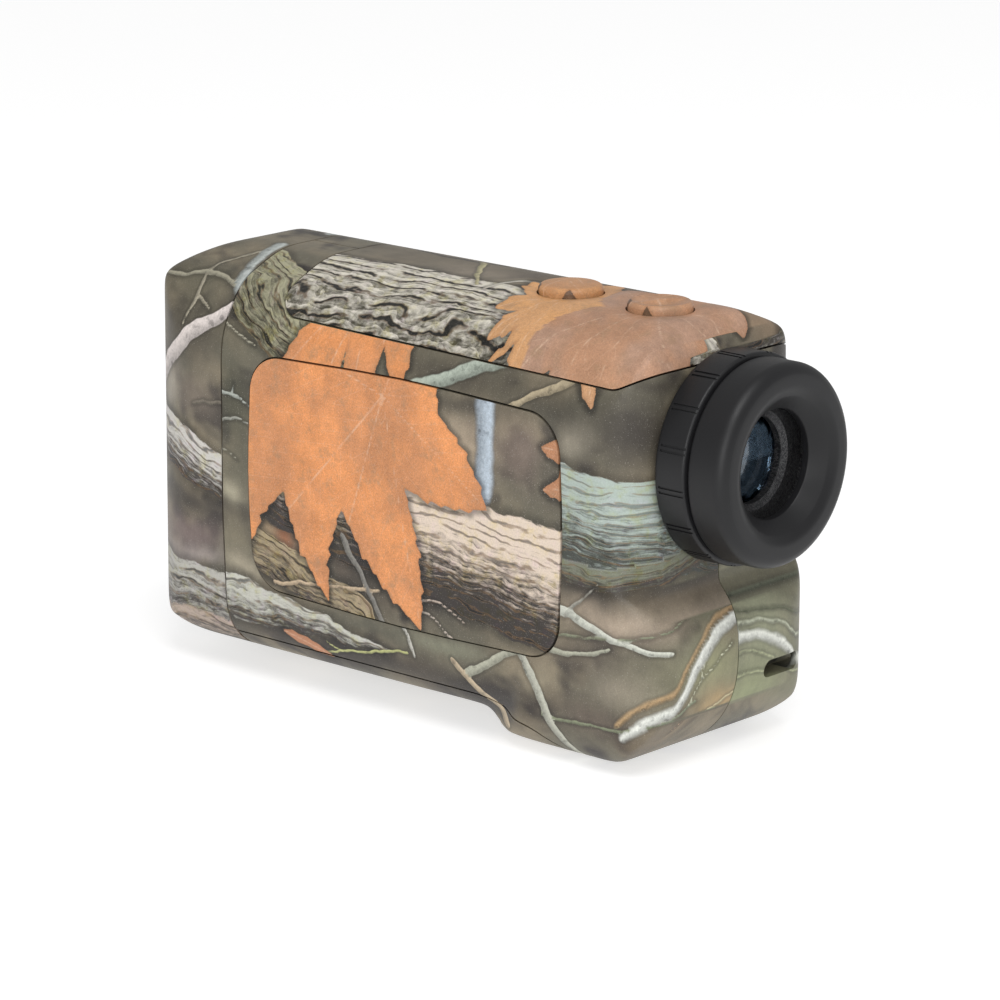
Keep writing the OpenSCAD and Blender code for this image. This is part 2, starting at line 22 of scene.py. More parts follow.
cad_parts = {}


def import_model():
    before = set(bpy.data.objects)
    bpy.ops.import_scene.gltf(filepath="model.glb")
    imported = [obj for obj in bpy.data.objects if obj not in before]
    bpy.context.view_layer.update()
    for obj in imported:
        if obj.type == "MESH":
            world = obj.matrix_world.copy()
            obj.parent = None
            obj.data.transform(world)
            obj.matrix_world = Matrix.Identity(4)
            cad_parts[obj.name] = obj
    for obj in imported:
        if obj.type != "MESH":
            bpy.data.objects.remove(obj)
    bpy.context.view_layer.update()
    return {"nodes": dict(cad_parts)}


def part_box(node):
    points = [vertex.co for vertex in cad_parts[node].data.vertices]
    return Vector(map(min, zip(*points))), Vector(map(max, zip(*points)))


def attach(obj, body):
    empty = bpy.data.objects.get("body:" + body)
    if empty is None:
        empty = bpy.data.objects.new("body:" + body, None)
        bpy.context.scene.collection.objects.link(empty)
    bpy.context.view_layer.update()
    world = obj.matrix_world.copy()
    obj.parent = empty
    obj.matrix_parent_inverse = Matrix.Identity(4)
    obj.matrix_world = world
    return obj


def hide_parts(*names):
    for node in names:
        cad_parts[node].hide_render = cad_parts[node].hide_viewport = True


MM = 0.001
FAR = 90.0  # beyond the rangefinder on every side
SEAM_HALF = 0.15  # half of the gap behind the front bezel
RING_GAP = 0.4  # between the housing and the diopter ring
SLEEVE_LENGTH = 2.5  # of the ring's sleeve, under the eyecup
FLANGE_W = 0.9  # round the foot of each button
FLANGE_H = 0.8

Point = tuple[float, float]
Corner = tuple[float, float, float]
Tint = tuple[float, float, float]
Outline = Sequence[Corner]

log = logging.getLogger("rangefinder")


# ---------------------------------------------------------------- places


@dataclass(frozen=True)
class Stations:
    """Places on the rangefinder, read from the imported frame."""

    front_x: float
    seam_x: float
    rear_x: float
    lobe_rear_x: float
    half_w: float
    top_z: float
    belly_z: float
    axis_z: float
    emitter_z: float
    cover_front_x: float
    door_rear_x: float
    ring_rear_x: float
    sleeve_rear_x: float
    ring_r: float
    cup_front_x: float
    cup_rear_x: float
    cup_r: float
    power_x: float
    mode_x: float
    crown_z: float
    flange_z: float
    button_r: float

    @classmethod
    def read(cls) -> "Stations":
        """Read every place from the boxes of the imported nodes."""

        def corners(node: str) -> tuple[Vector, Vector]:
            """Lowest and highest corner of a node in millimetres."""
            low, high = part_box(node)
            return low / MM, high / MM

        bezel_low, bezel_high = corners("front_bezel")
        shell_low, shell_high = corners("left_shell")
        cover_high = corners("top_cover")[1]
        ring_low, ring_high = corners("diopter_ring")
        cup_low, cup_high = corners("eyecup")
        power_low, power_high = corners("power_button")
        mode_low, mode_high = corners("mode_button")
        emitter_low, emitter_high = corners("emitter_lens")
        return cls(
            front_x=bezel_high.x,
            seam_x=shell_high.x + SEAM_HALF,
            rear_x=ring_high.x + RING_GAP,
            lobe_rear_x=shell_low.x,
            half_w=shell_high.y,
            top_z=cover_high.z,
            belly_z=bezel_low.z,
            axis_z=(cup_low.z + cup_high.z) / 2,
            emitter_z=(emitter_low.z + emitter_high.z) / 2,
            cover_front_x=cover_high.x,
            door_rear_x=corners("battery_door")[0].x,
            ring_rear_x=ring_low.x + SLEEVE_LENGTH,
            sleeve_rear_x=ring_low.x,
            ring_r=(ring_high.z - ring_low.z) / 2,
            cup_front_x=cup_high.x,
            cup_rear_x=cup_low.x,
            cup_r=(cup_high.z - cup_low.z) / 2,
            power_x=(power_low.x + power_high.x) / 2,
            mode_x=(mode_low.x + mode_high.x) / 2,
            crown_z=power_high.z,
            flange_z=power_low.z,
            button_r=(power_high.y - power_low.y) / 2 - FLANGE_W,
        )


# ---------------------------------------------------------------- the bench


class Axis(Enum):
    """Direction that an outline is extruded along or turned about."""

    X = 0
    Y = 1
    Z = 2

    def place(self, along: float, first: float, second: float) -> Vector:
        """A point at a distance along the axis, with the other two coordinates in order."""
        values = [first, second]
        values.insert(self.value, along)
        return Vector(values)


def rounded(outline: Outline, step: float = 6.0) -> list[Point]:
    """Round each corner of an outline by its own radius.

    Args:
        outline: corners as along, up and radius.
        step: largest turn of one facet, in degrees.

    Returns:
        The points of the closed outline.
    """
    points: list[Point] = []
    count = len(outline)
    for index, (x, y, radius) in enumerate(outline):
        if radius == 0:
            points.append((x, y))
            continue
        corner = Vector((x, y))
        before = (Vector(outline[index - 1][:2]) - corner).normalized()
        after = (Vector(outline[(index + 1) % count][:2]) - corner).normalized()
        half = before.angle(after) / 2
        foot = corner + before * radius / math.tan(half)
        centre = corner + (before + after).normalized() * radius / math.sin(half)
        turn = (math.pi - 2 * half) * (-1 if before.cross(after) > 0 else 1)
        start = math.atan2(foot.y - centre.y, foot.x - centre.x)
        steps = max(2, math.ceil(abs(turn) / math.radians(step)))
        for i in range(steps + 1):
            angle = start + turn * i / steps
            points.append((centre.x + radius * math.cos(angle), centre.y + radius * math.sin(angle)))
    return points


def grown(points: Sequence[Point], amount: float) -> list[Point]:
    """Move a closed outline outwards along its normals.

    Args:
        points: the outline's points.
        amount: distance, negative for inwards.

    Returns:
        The moved points.
    """
    ring = np.array(points)
    ahead = np.roll(ring, -1, axis=0) - ring
    ahead /= np.linalg.norm(ahead, axis=1)[:, None]
    behind = np.roll(ahead, 1, axis=0)
    area = np.sum(ring[:, 0] * np.roll(ring[:, 1], -1) - np.roll(ring[:, 0], -1) * ring[:, 1])
    out = np.stack([ahead[:, 1] + behind[:, 1], -ahead[:, 0] - behind[:, 0]], axis=1) * np.sign(area)
    reach = np.sum(out * out, axis=1) / 2
    return [tuple(p) for p in ring + out / np.maximum(reach, 0.2)[:, None] * amount]


def mirrored(half: Outline, flip_first: bool) -> list[Corner]:
    """Make a half outline whole about its centre line.

    Args:
        half: corners of one half, in order.
        flip_first: mirror the first coordinate, or else the second.

    Returns:
        The whole outline.
    """
    other = [(-x, y, r) if flip_first else (x, -y, r) for x, y, r in reversed(half)]
    return list(half) + other


class Solid:
    """A closed mesh on the bench, shaped with the usual modelling tools."""

    def __init__(self, name: str) -> None:
        """Take the active object under a new name."""
        self.obj = bpy.context.object
        self.obj.name = name
        self.obj.data.name = name

    # -- making

    @classmethod
    def prism(cls, name: str, points: Sequence[Point], axis: Axis, low: float, high: float) -> "Solid":
        """Extrude an outline along an axis.

        Args:
            name: name of the piece.
            points: outline, as the two coordinates that are not along the axis.
            axis: direction of the extrusion.
            low: where it starts.
            high: where it ends.

        Returns:
            The closed prism.
        """
        bpy.ops.object.select_all(action="DESELECT")
        bpy.ops.mesh.primitive_circle_add(vertices=len(points), radius=MM, fill_type="NGON")
        solid = cls(name)
        for vertex, (first, second) in zip(solid.obj.data.vertices, points):
            vertex.co = axis.place(low, first, second) * MM
        bpy.ops.object.mode_set(mode="EDIT")
        bpy.ops.mesh.select_all(action="SELECT")
        step = axis.place(high - low, 0, 0) * MM
        bpy.ops.mesh.extrude_region_move(TRANSFORM_OT_translate={"value": step})
        return solid._outwards()

    @classmethod
    def block(cls, name: str, low: Sequence[float], high: Sequence[float]) -> "Solid":
        """Make a box between two corners."""
        centre = (Vector(low) + Vector(high)) / 2 * MM
        bpy.ops.object.select_all(action="DESELECT")
        bpy.ops.mesh.primitive_cube_add(size=1, location=centre, scale=(Vector(high) - Vector(low)) * MM)
        bpy.ops.object.transform_apply(location=True, rotation=True, scale=True)
        return cls(name)

    @classmethod
    def turned(
        cls, name: str, points: Sequence[Point], axis: Axis, centre: Sequence[float], steps: int = 128
    ) -> "Solid":
        """Spin a profile about an axis.

        Args:
            name: name of the piece.
            points: profile as distance along the axis and radius, closed or from pole to pole.
            axis: direction of the axis.
            centre: a point on the axis; its coordinate along the axis is not used.
            steps: facets round the turn.

        Returns:
            The closed turned piece.
        """
        bpy.ops.object.select_all(action="DESELECT")
        bpy.ops.mesh.primitive_circle_add(vertices=len(points), radius=MM, fill_type="NOTHING")
        solid = cls(name)
        base = [c for i, c in enumerate(centre) if i != axis.value]
        for vertex, (along, radius) in zip(solid.obj.data.vertices, points):
            vertex.co = axis.place(along, base[0], base[1] + radius) * MM
        bpy.ops.object.mode_set(mode="EDIT")
        bpy.ops.mesh.select_all(action="SELECT")
        bpy.ops.mesh.spin(
            steps=steps, angle=2 * math.pi, center=Vector(centre) * MM, axis=axis.place(1, 0, 0)
        )
        bpy.ops.mesh.select_all(action="SELECT")
        bpy.ops.mesh.remove_doubles(threshold=0.002 * MM)
        return solid._outwards()

    @classmethod
    def rod(
        cls, name: str, axis: Axis, centre: Sequence[float], span: Point, radius: float, flare: float = 0.0
    ) -> "Solid":
        """Turn a plain rod or cone.

        Args:
            name: name of the piece.
            axis: direction of the axis.
            centre: a point on the axis.
            span: where it starts and ends along the axis.
            radius: radius at the start.
            flare: how much wider the end is.

        Returns:
            The closed rod.
        """
        profile = [(span[0], 0.0), (span[0], radius), (span[1], radius + flare), (span[1], 0.0)]
        return cls.turned(name, profile, axis, centre, steps=96)

    def copy(self, name: str) -> "Solid":
        """A separate copy with its own mesh."""
        self._pick()
        bpy.ops.object.duplicate()
        return Solid(name)

    # -- shaping

    def _pick(self) -> None:
        """Make this the only selected object and the active one."""
        bpy.ops.object.select_all(action="DESELECT")
        self.obj.select_set(True)
        bpy.context.view_layer.objects.active = self.obj

    def _outwards(self) -> "Solid":
        """Turn all faces outwards and leave edit mode."""
        bpy.ops.mesh.select_all(action="SELECT")
        bpy.ops.mesh.normals_make_consistent(inside=False)
        bpy.ops.object.mode_set(mode="OBJECT")
        return self

    def change(self, kind: str, **settings: object) -> "Solid":
        """Add a modifier, set it up and apply it.

        Args:
            kind: the modifier's type.
            settings: its settings.

        Returns:
            This solid.
        """
        self._pick()
        modifier = self.obj.modifiers.new(kind.lower(), kind)
        for key, value in settings.items():
            setattr(modifier, key, value)
        bpy.ops.object.modifier_apply(modifier=modifier.name)
        return self

    def _combine(self, operation: str, other: "Solid", keep: bool) -> "Solid":
        """Boolean with another solid, which is used up unless it is kept."""
        self.change("BOOLEAN", operation=operation, object=other.obj, solver="MANIFOLD")
        if not keep:
            other.scrap()
        return self

    def cut(self, other: "Solid", keep: bool = False) -> "Solid":
        """Take another solid's space away."""
        return self._combine("DIFFERENCE", other, keep)

    def within(self, other: "Solid", keep: bool = False) -> "Solid":
        """Leave only what lies inside another solid."""
        return self._combine("INTERSECT", other, keep)

    def join(self, other: "Solid", keep: bool = False) -> "Solid":
        """Weld another solid on."""
        return self._combine("UNION", other, keep)

    def knit(self, size: float) -> "Solid":
        """Rebuild the surface from even cells of a size."""
        return self.change("REMESH", mode="VOXEL", voxel_size=size * MM, use_smooth_shade=True)

    def soften(self, rounds: int) -> "Solid":
        """Blend creases over some rounds of smoothing."""
        return self.change("SMOOTH", factor=0.5, iterations=rounds)

    def offset(self, amount: float) -> "Solid":
        """Move the surface along its normals."""
        return self.change("DISPLACE", strength=amount * MM, mid_level=0)

    def bevel(self, width: float, segments: int = 2, angle: float = 35.0) -> "Solid":
        """Break the sharp edges."""
        limit = math.radians(angle)
        return self.change(
            "BEVEL", width=width * MM, segments=segments, limit_method="ANGLE", angle_limit=limit
        )

    def move_points(self, rule: Callable[[np.ndarray], np.ndarray]) -> "Solid":
        """Move vertices by a rule on their places in millimetres."""
        mesh = self.obj.data
        places = np.empty(len(mesh.vertices) * 3)
        mesh.vertices.foreach_get("co", places)
        moved = rule(places.reshape(-1, 3) / MM)
        mesh.vertices.foreach_set("co", (moved * MM).ravel())
        mesh.update()
        return self

    def scrap(self) -> None:
        """Throw the solid away."""
        mesh = self.obj.data
        bpy.data.objects.remove(self.obj)
        bpy.data.meshes.remove(mesh)

    # -- finishing

    def finish(
        self, material: bpy.types.Material, body: str, node: str, slot: str, crease: float = 30.0
    ) -> None:
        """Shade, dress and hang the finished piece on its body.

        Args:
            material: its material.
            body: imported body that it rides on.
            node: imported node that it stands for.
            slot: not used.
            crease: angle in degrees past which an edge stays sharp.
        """
        self._pick()
        bpy.ops.object.shade_smooth_by_angle(angle=math.radians(crease))
        self.obj.data.materials.clear()
        self.obj.data.materials.append(material)
        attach(self.obj, body)
        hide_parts(node)
        log.info("%s: %d faces", self.obj.name, len(self.obj.data.polygons))


# ---------------------------------------------------------------- shader arithmetic

Value = Union["Ink", float]
Sample = Union["Ink", float, Tint]
Key = Union[int, str]


class Ink:
    """A shader value that takes part in plain arithmetic."""

    def __init__(self, palette: "Palette", socket: bpy.types.NodeSocket) -> None:
        """Wrap an output socket of the palette's nodes."""
        self.palette = palette
        self.socket = socket

    def _math(self, operation: str, *values: Value) -> "Ink":
        """Add a Math node."""
        return self.palette.node("ShaderNodeMath", {"operation": operation}, dict(enumerate(values)))

    def __add__(self, other: Value) -> "Ink":
        """self + other."""
        return self._math("ADD", self, other)

    def __radd__(self, other: Value) -> "Ink":
        """other + self."""
        return self._math("ADD", other, self)

    def __sub__(self, other: Value) -> "Ink":
        """self - other."""
        return self._math("SUBTRACT", self, other)

    def __rsub__(self, other: Value) -> "Ink":
        """other - self."""
        return self._math("SUBTRACT", other, self)

    def __mul__(self, other: Value) -> "Ink":
        """self * other."""
        return self._math("MULTIPLY", self, other)

    def __rmul__(self, other: Value) -> "Ink":
        """other * self."""
        return self._math("MULTIPLY", other, self)

    def __truediv__(self, other: Value) -> "Ink":
        """self / other."""
        return self._math("DIVIDE", self, other)

    def __abs__(self) -> "Ink":
        """Distance from zero."""
        return self._math("ABSOLUTE", self)

    def below(self, other: Value) -> "Ink":
        """The smaller of two values."""
        return self._math("MINIMUM", self, other)

    def above(self, other: Value) -> "Ink":
        """The larger of two values."""
        return self._math("MAXIMUM", self, other)

    def fraction(self) -> "Ink":
        """What is left over after whole numbers."""
        return self._math("FRACT", self)

    def ramp(self, low: float, high: float) -> "Ink":
        """Rise smoothly from 0 at low to 1 at high, or fall where low is above high."""
        if low > high:
            return 1 - self.ramp(high, low)
        settings = {"interpolation_type": "SMOOTHSTEP"}
        return self.palette.node("ShaderNodeMapRange", settings, {0: self, 1: low, 2: high}, 0)

    def parts(self) -> tuple["Ink", "Ink", "Ink"]:
        """The three parts of a vector."""
        first = self.palette.node("ShaderNodeSeparateXYZ", {}, {0: self}, 0)
        outputs = first.socket.node.outputs
        return first, Ink(self.palette, outputs[1]), Ink(self.palette, outputs[2])


class Palette:
    """The nodes of one material."""

    def __init__(self, name: str) -> None:
        """Start an empty material with one principled surface."""
        self.material = bpy.data.materials.new(name)
        self.material.use_nodes = True
        self.tree = self.material.node_tree
        self.tree.nodes.clear()
        self.surface = self.tree.nodes.new("ShaderNodeBsdfPrincipled")
        output = self.tree.nodes.new("ShaderNodeOutputMaterial")
        self.tree.links.new(self.surface.outputs[0], output.inputs[0])

    def _plug(self, socket: bpy.types.NodeSocket, value: Sample) -> None:
        """Link or set one input socket."""
        if isinstance(value, Ink):
            self.tree.links.new(value.socket, socket)
        elif isinstance(value, (int, float)):
            socket.default_value = value
        else:
            size = len(socket.default_value)
            socket.default_value = (*value, 1.0)[:size]

    def node(
        self, kind: str, settings: dict[str, object], sockets: dict[Key, Sample], out: Key = 0
    ) -> Ink:
        """Add any node.

        Args:
            kind: the node's type.
            settings: its settings, which are set first; stops are a ramp's places and colours.
            sockets: values or links of its inputs, by index or name.
            out: the output that is returned.

        Returns:
            The output as an ink.
        """
        made = self.tree.nodes.new(kind)
        for key, value in settings.items():
            if key == "stops":
                self._stops(made.color_ramp, value)
            else:
                setattr(made, key, value)
        for key, value in sockets.items():
            self._plug(made.inputs[key], value)
        return Ink(self, made.outputs[out])

    @staticmethod
    def _stops(ramp: bpy.types.ColorRamp, stops: Sequence[tuple[float, Tint]]) -> None:
        """Set a colour ramp's stops."""
        while len(ramp.elements) < len(stops):
            ramp.elements.new(1.0)
        for element, (place, tint) in zip(ramp.elements, stops):
            element.position = place
            element.color = (*tint, 1.0)

    def attribute(self, name: str, out: str = "Vector") -> Ink:
        """An attribute stored on the mesh."""
        return self.node("ShaderNodeAttribute", {"attribute_name": name}, {}, out)

    def place(self) -> Ink:
        """The place on the object, in millimetres."""
        spot = self.node("ShaderNodeTexCoord", {}, {}, "Object")
        return self.scaled(spot, (1 / MM, 1 / MM, 1 / MM))

    def scaled(self, vector: Ink, factors: Tint) -> Ink:
        """A vector with each part scaled."""
        return self.node("ShaderNodeVectorMath", {"operation": "MULTIPLY"}, {0: vector, 1: factors})

    def vector(self, x: Value, y: Value, z: Value) -> Ink:
        """A vector from three values."""
        return self.node("ShaderNodeCombineXYZ", {}, {0: x, 1: y, 2: z})

    def noise(
        self, at: Ink, scale: float, detail: float = 3.0, rough: float = 0.55, bend: float = 0.0
    ) -> Ink:
        """Smooth noise about 0.5."""
        sockets = {"Vector": at, "Scale": scale, "Detail": detail, "Roughness": rough, "Distortion": bend}
        return self.node("ShaderNodeTexNoise", {"normalize": True}, sockets, "Fac")

    def cells(self, at: Ink, scale: float) -> Ink:
        """Distance pattern of scattered cells."""
        return self.node("ShaderNodeTexVoronoi", {}, {"Vector": at, "Scale": scale}, "Distance")

    def mix(self, share: Value, first: Sample, second: Sample, kind: str = "MIX") -> Ink:
        """Mix two colours."""
        settings = {"data_type": "RGBA", "blend_type": kind}
        return self.node("ShaderNodeMix", settings, {0: share, 6: first, 7: second}, 2)

    def shade(self, colour: Sample, amount: Value) -> Ink:
        """A colour made lighter or darker by a factor."""
        return self.node("ShaderNodeVectorMath", {"operation": "SCALE"}, {0: colour, "Scale": amount})

    def bump(self, height: Value, depth: float, strength: float = 1.0) -> Ink:
        """A normal from a height, with the depth in millimetres."""
        sockets = {"Height": height, "Distance": depth * MM, "Strength": strength}
        return self.node("ShaderNodeBump", {}, sockets, "Normal")

    def set(self, **sockets: Sample) -> bpy.types.Material:
        """Set the surface's sockets, written with underscores for spaces, and return the material."""
        for key, value in sockets.items():
            self._plug(self.surface.inputs[key.replace("_", " ")], value)
        return self.material


# ---------------------------------------------------------------- the woodland print

WRAP = 159.6  # unrolled height of the housing, up the left side and down the right
TURN_Y = 14.0  # where the flat top, belly and rear begin, beside the rounded edges


def ripple(at: np.ndarray, length: float, size: float, seed: int) -> np.ndarray:
    """Smooth wandering values on the unrolled print.

    Args:
        at: places, one row each.
        length: length of the longest wave.
        size: height of the waves.
        seed: picks the waves.

    Returns:
        One value for each place.
    """
    waves = np.random.default_rng(seed)
    total = np.zeros(len(at))
    for octave in range(4):
        for _ in range(3):
            heading, phase = waves.uniform(0, 2 * math.pi, 2)
            pace = 2 * math.pi * 1.9**octave / length * waves.uniform(0.8, 1.25)
            total += np.sin(pace * (at @ (math.cos(heading), math.sin(heading))) + phase) * 0.62**octave
    return total * size / 3


def lerp_colour(first: np.ndarray, second: Sequence[float], share: np.ndarray) -> np.ndarray:
    """Mix colours row by row."""
    return first + (np.asarray(second) - first) * share[:, None]


def bent(path: Sequence[Point], rounds: int = 2) -> np.ndarray:
    """Round the corners of a path by cutting them, with its ends kept."""
    line = np.array(path, dtype=float)
    for _ in range(rounds if len(line) > 2 else 0):
        first, second = line[:-1], line[1:]
        cuts = np.stack([first * 0.75 + second * 0.25, first * 0.25 + second * 0.75], axis=1).reshape(-1, 2)
        line = np.vstack([line[:1], cuts[1:-1], line[-1:]])
    return line


@dataclass
class Traced:
    """Places measured from a path: along it, signed across it, and its half width there."""

    along: np.ndarray
    across: np.ndarray
    half: np.ndarray

    @classmethod
    def measure(cls, at: np.ndarray, path: Sequence[Point], widths: Point) -> "Traced":
        """Measure places from a path.

        Args:
            at: places, one row each.
            path: the path's points, from the front of the housing to its rear.
            widths: full width at its start and at its end.

        Returns:
            The measures; across is positive above the path.
        """
        line = bent(path)
        spans = np.linalg.norm(np.diff(line, axis=0), axis=1)
        best = np.full(len(at), np.inf)
        along, across = np.zeros(len(at)), np.zeros(len(at))
        done = 0.0
        for start, end, span in zip(line[:-1], line[1:], spans):
            way = (end - start) / span
            near = np.clip((at - start) @ way, 0, span)
            off = at - start - near[:, None] * way
            gap = np.linalg.norm(off, axis=1)
            closer = gap < best
            side = np.where(way[1] * off[:, 0] - way[0] * off[:, 1] >= 0, 1.0, -1.0)
            best = np.where(closer, gap, best)
            along = np.where(closer, done + near, along)
            across = np.where(closer, gap * side, across)
            done += span
        share = along / max(done, 1e-6)
        return cls(along, across, (widths[0] + (widths[1] - widths[0]) * share) / 2)


@dataclass(frozen=True)
class Spot:
    """A soft patch of colour far behind the branches."""

    at: Point
    size: Point
    tint: Tint
    strength: float = 0.9


@dataclass(frozen=True)
class Limb:
    """A bark-covered limb, listed from the front of the housing to its rear."""

    path: tuple[Point, ...]
    widths: Point
    light: Tint
    dark: Tint = (0.05, 0.044, 0.038)
    shade: float = 0.6
    furrow: float = 0.6
    pitch: float = 1.9


@dataclass(frozen=True)
class Twig:
    """A thin bare twig."""

    path: tuple[Point, ...]
    widths: Point
    tint: Tint = (0.5, 0.46, 0.38)
    blur: float = 0.07


@dataclass(frozen=True)
class Leaf:
    """A dry lobed leaf; its rim lists tips and notches in turn, beginning with a tip."""

    heart: Point
    rim: tuple[Point, ...]
    tint: Tint
    tint_low: Tint
    tooth: float = 1.1
    belly: float = 0.08

    def ring(self) -> np.ndarray:
        """The toothed outline of the leaf."""
        corners = np.array(self.rim, dtype=float)
        heart = np.array(self.heart, dtype=float)
        points: list[np.ndarray] = []
        for index in range(len(corners)):
            start, end = corners[index], corners[(index + 1) % len(corners)]
            edge = end - start
            span = float(np.linalg.norm(edge))
            out = np.array([edge[1], -edge[0]]) / max(span, 1e-6)
            if out @ ((start + end) / 2 - heart) < 0:
                out = -out
            teeth = max(2, round(span / 2.7))
            to_tip = index % 2 == 1
            for i in range(teeth):
                low, peak = i / teeth, (i + (0.8 if to_tip else 0.2)) / teeth
                size = self.tooth * (0.65 + 0.35 * math.sin(2.4 * i + index))
                for share, lift in ((low, 0.0), (peak, size)):
                    swell = self.belly * span * math.sin(math.pi * share)
                    fade = min(1, 4 * share * (1 - share))
                    points.append(start + edge * share + out * (lift * fade + swell))
        return np.array(points)

    def rim_distance(self, at: np.ndarray) -> np.ndarray:
        """Distance from the rim in millimetres, positive inside."""
        ring = self.ring()
        result = np.full(len(at), -9.0)
        low, high = ring.min(axis=0) - 3, ring.max(axis=0) + 3
        close = np.all((at > low) & (at < high), axis=1)
        near = at[close]
        best = np.full(len(near), np.inf)
        inside = np.zeros(len(near), dtype=bool)
        for start, end in zip(ring, np.roll(ring, -1, axis=0)):
            way = end - start
            share = np.clip((near - start) @ way / max(way @ way, 1e-9), 0, 1)
            best = np.minimum(best, np.sum((near - start - share[:, None] * way) ** 2, axis=1))
            if start[1] != end[1]:
                spans = (start[1] > near[:, 1]) != (end[1] > near[:, 1])
                crossing = start[0] + (near[:, 1] - start[1]) * way[0] / way[1]
                inside ^= spans & (near[:, 0] < crossing)
        result[close] = np.sqrt(best) * np.where(inside, 1, -1)
        return result

    def ribs(self, at: np.ndarray) -> tuple[np.ndarray, np.ndarray]:
        """Distance from the nearest main rib, and the place along the herringbone of side veins."""
        best = np.full(len(at), np.inf)
        bone = np.zeros(len(at))
        for tip in self.rim[::2]:
            way = np.array(tip, dtype=float) - self.heart
            span = float(np.linalg.norm(way))
            way /= span
            near = np.clip((at - self.heart) @ way, 0, span)
            gap = np.linalg.norm(at - self.heart - near[:, None] * way, axis=1)
            closer = gap < best
            best = np.where(closer, gap, best)
            bone = np.where(closer, near - 1.1 * gap, bone)
        return best, bone


@dataclass(frozen=True)
class Drawing:
    """Everything that is drawn on one moulding, placed on the unrolled housing."""

    spots: tuple[Spot, ...] = ()
    limbs: tuple[Limb, ...] = ()
    twigs: tuple[Twig, ...] = ()
    leaves: tuple[Leaf, ...] = ()

    def moved(self, rule: Callable[[Point], Point]) -> "Drawing":
        """The same drawing with every point moved by a rule."""

        def path(points: Iterable[Point]) -> tuple[Point, ...]:
            """Move each point of a path."""
            return tuple(rule(p) for p in points)

        return Drawing(
            tuple(replace(s, at=rule(s.at)) for s in self.spots),
            tuple(replace(b, path=path(b.path)) for b in self.limbs),
            tuple(replace(t, path=path(t.path)) for t in self.twigs),
            tuple(replace(f, heart=rule(f.heart), rim=path(f.rim)) for f in self.leaves),
        )

    def beside(self, other: "Drawing") -> "Drawing":
        """This drawing and another one together."""
        return Drawing(
            self.spots + other.spots,
            self.limbs + other.limbs,
            self.twigs + other.twigs,
            self.leaves + other.leaves,
        )


PALE_BARK = (0.54, 0.52, 0.48)
COVER_BARK = (0.66, 0.62, 0.53)
BLUE_BARK = (0.36, 0.42, 0.38)
UNDERGROWTH = (0.13, 0.118, 0.085)
CLEARING = (0.21, 0.175, 0.12)
DUSK = (0.045, 0.038, 0.032)
UMBER = (0.07, 0.06, 0.045)
ORANGE = (0.76, 0.31, 0.115)
RUST = (0.47, 0.22, 0.11)

NOSE = Drawing(
    spots=(
        Spot((45, 53), (9, 6), UMBER),
        Spot((49, 44), (3.5, 3), (0.36, 0.32, 0.26)),
        Spot((42, 43), (4, 3), (0.17, 0.14, 0.11)),
        Spot((46, 62), (9, 4), (0.11, 0.10, 0.07)),
        Spot((45, 27), (9, 2.6), DUSK),
        Spot((45, 21.5), (9, 2.4), (0.17, 0.13, 0.12)),
        Spot((46, 18.6), (9, 1.4), (0.30, 0.26, 0.24)),
    ),
    limbs=(
        Limb(((74, 46), (53, 37), (38, 31.6), (20, 26)), (8.5, 7), PALE_BARK, DUSK, 0.75, 0.8, 1.5),
        Limb(((72, 15), (50, 13), (38, 12), (20, 11)), (9, 9), (0.42, 0.41, 0.37), DUSK, 0.45, 0.9, 2.2),
        Limb(((70, 7), (46, 7), (30, 6)), (4, 4), (0.40, 0.32, 0.26), DUSK, 0.3, 0.8),
    ),
    twigs=(
        Twig(((58, 40), (50, 47.5), (44, 53.5), (34, 59)), (2.9, 2.2), (0.60, 0.54, 0.51), 0.12),
        Twig(((58, 60), (48, 61.6), (40, 62), (34, 59.5)), (0.45, 0.6), (0.30, 0.28, 0.21)),
        Twig(((40, 70), (44.8, 63), (44.2, 59), (45.6, 54.6)), (0.6, 0.45), (0.32, 0.29, 0.22)),
        Twig(((44.4, 59), (41, 57.2)), (0.5, 0.35), (0.32, 0.29, 0.22)),
        Twig(((38.6, 74), (38.5, 63), (35, 58.5)), (2.2, 1.5), (0.42, 0.45, 0.43), 0.4),
        Twig(((43, 42.4), (36, 43.6)), (0.6, 0.5), (0.15, 0.13, 0.10)),
    ),
)

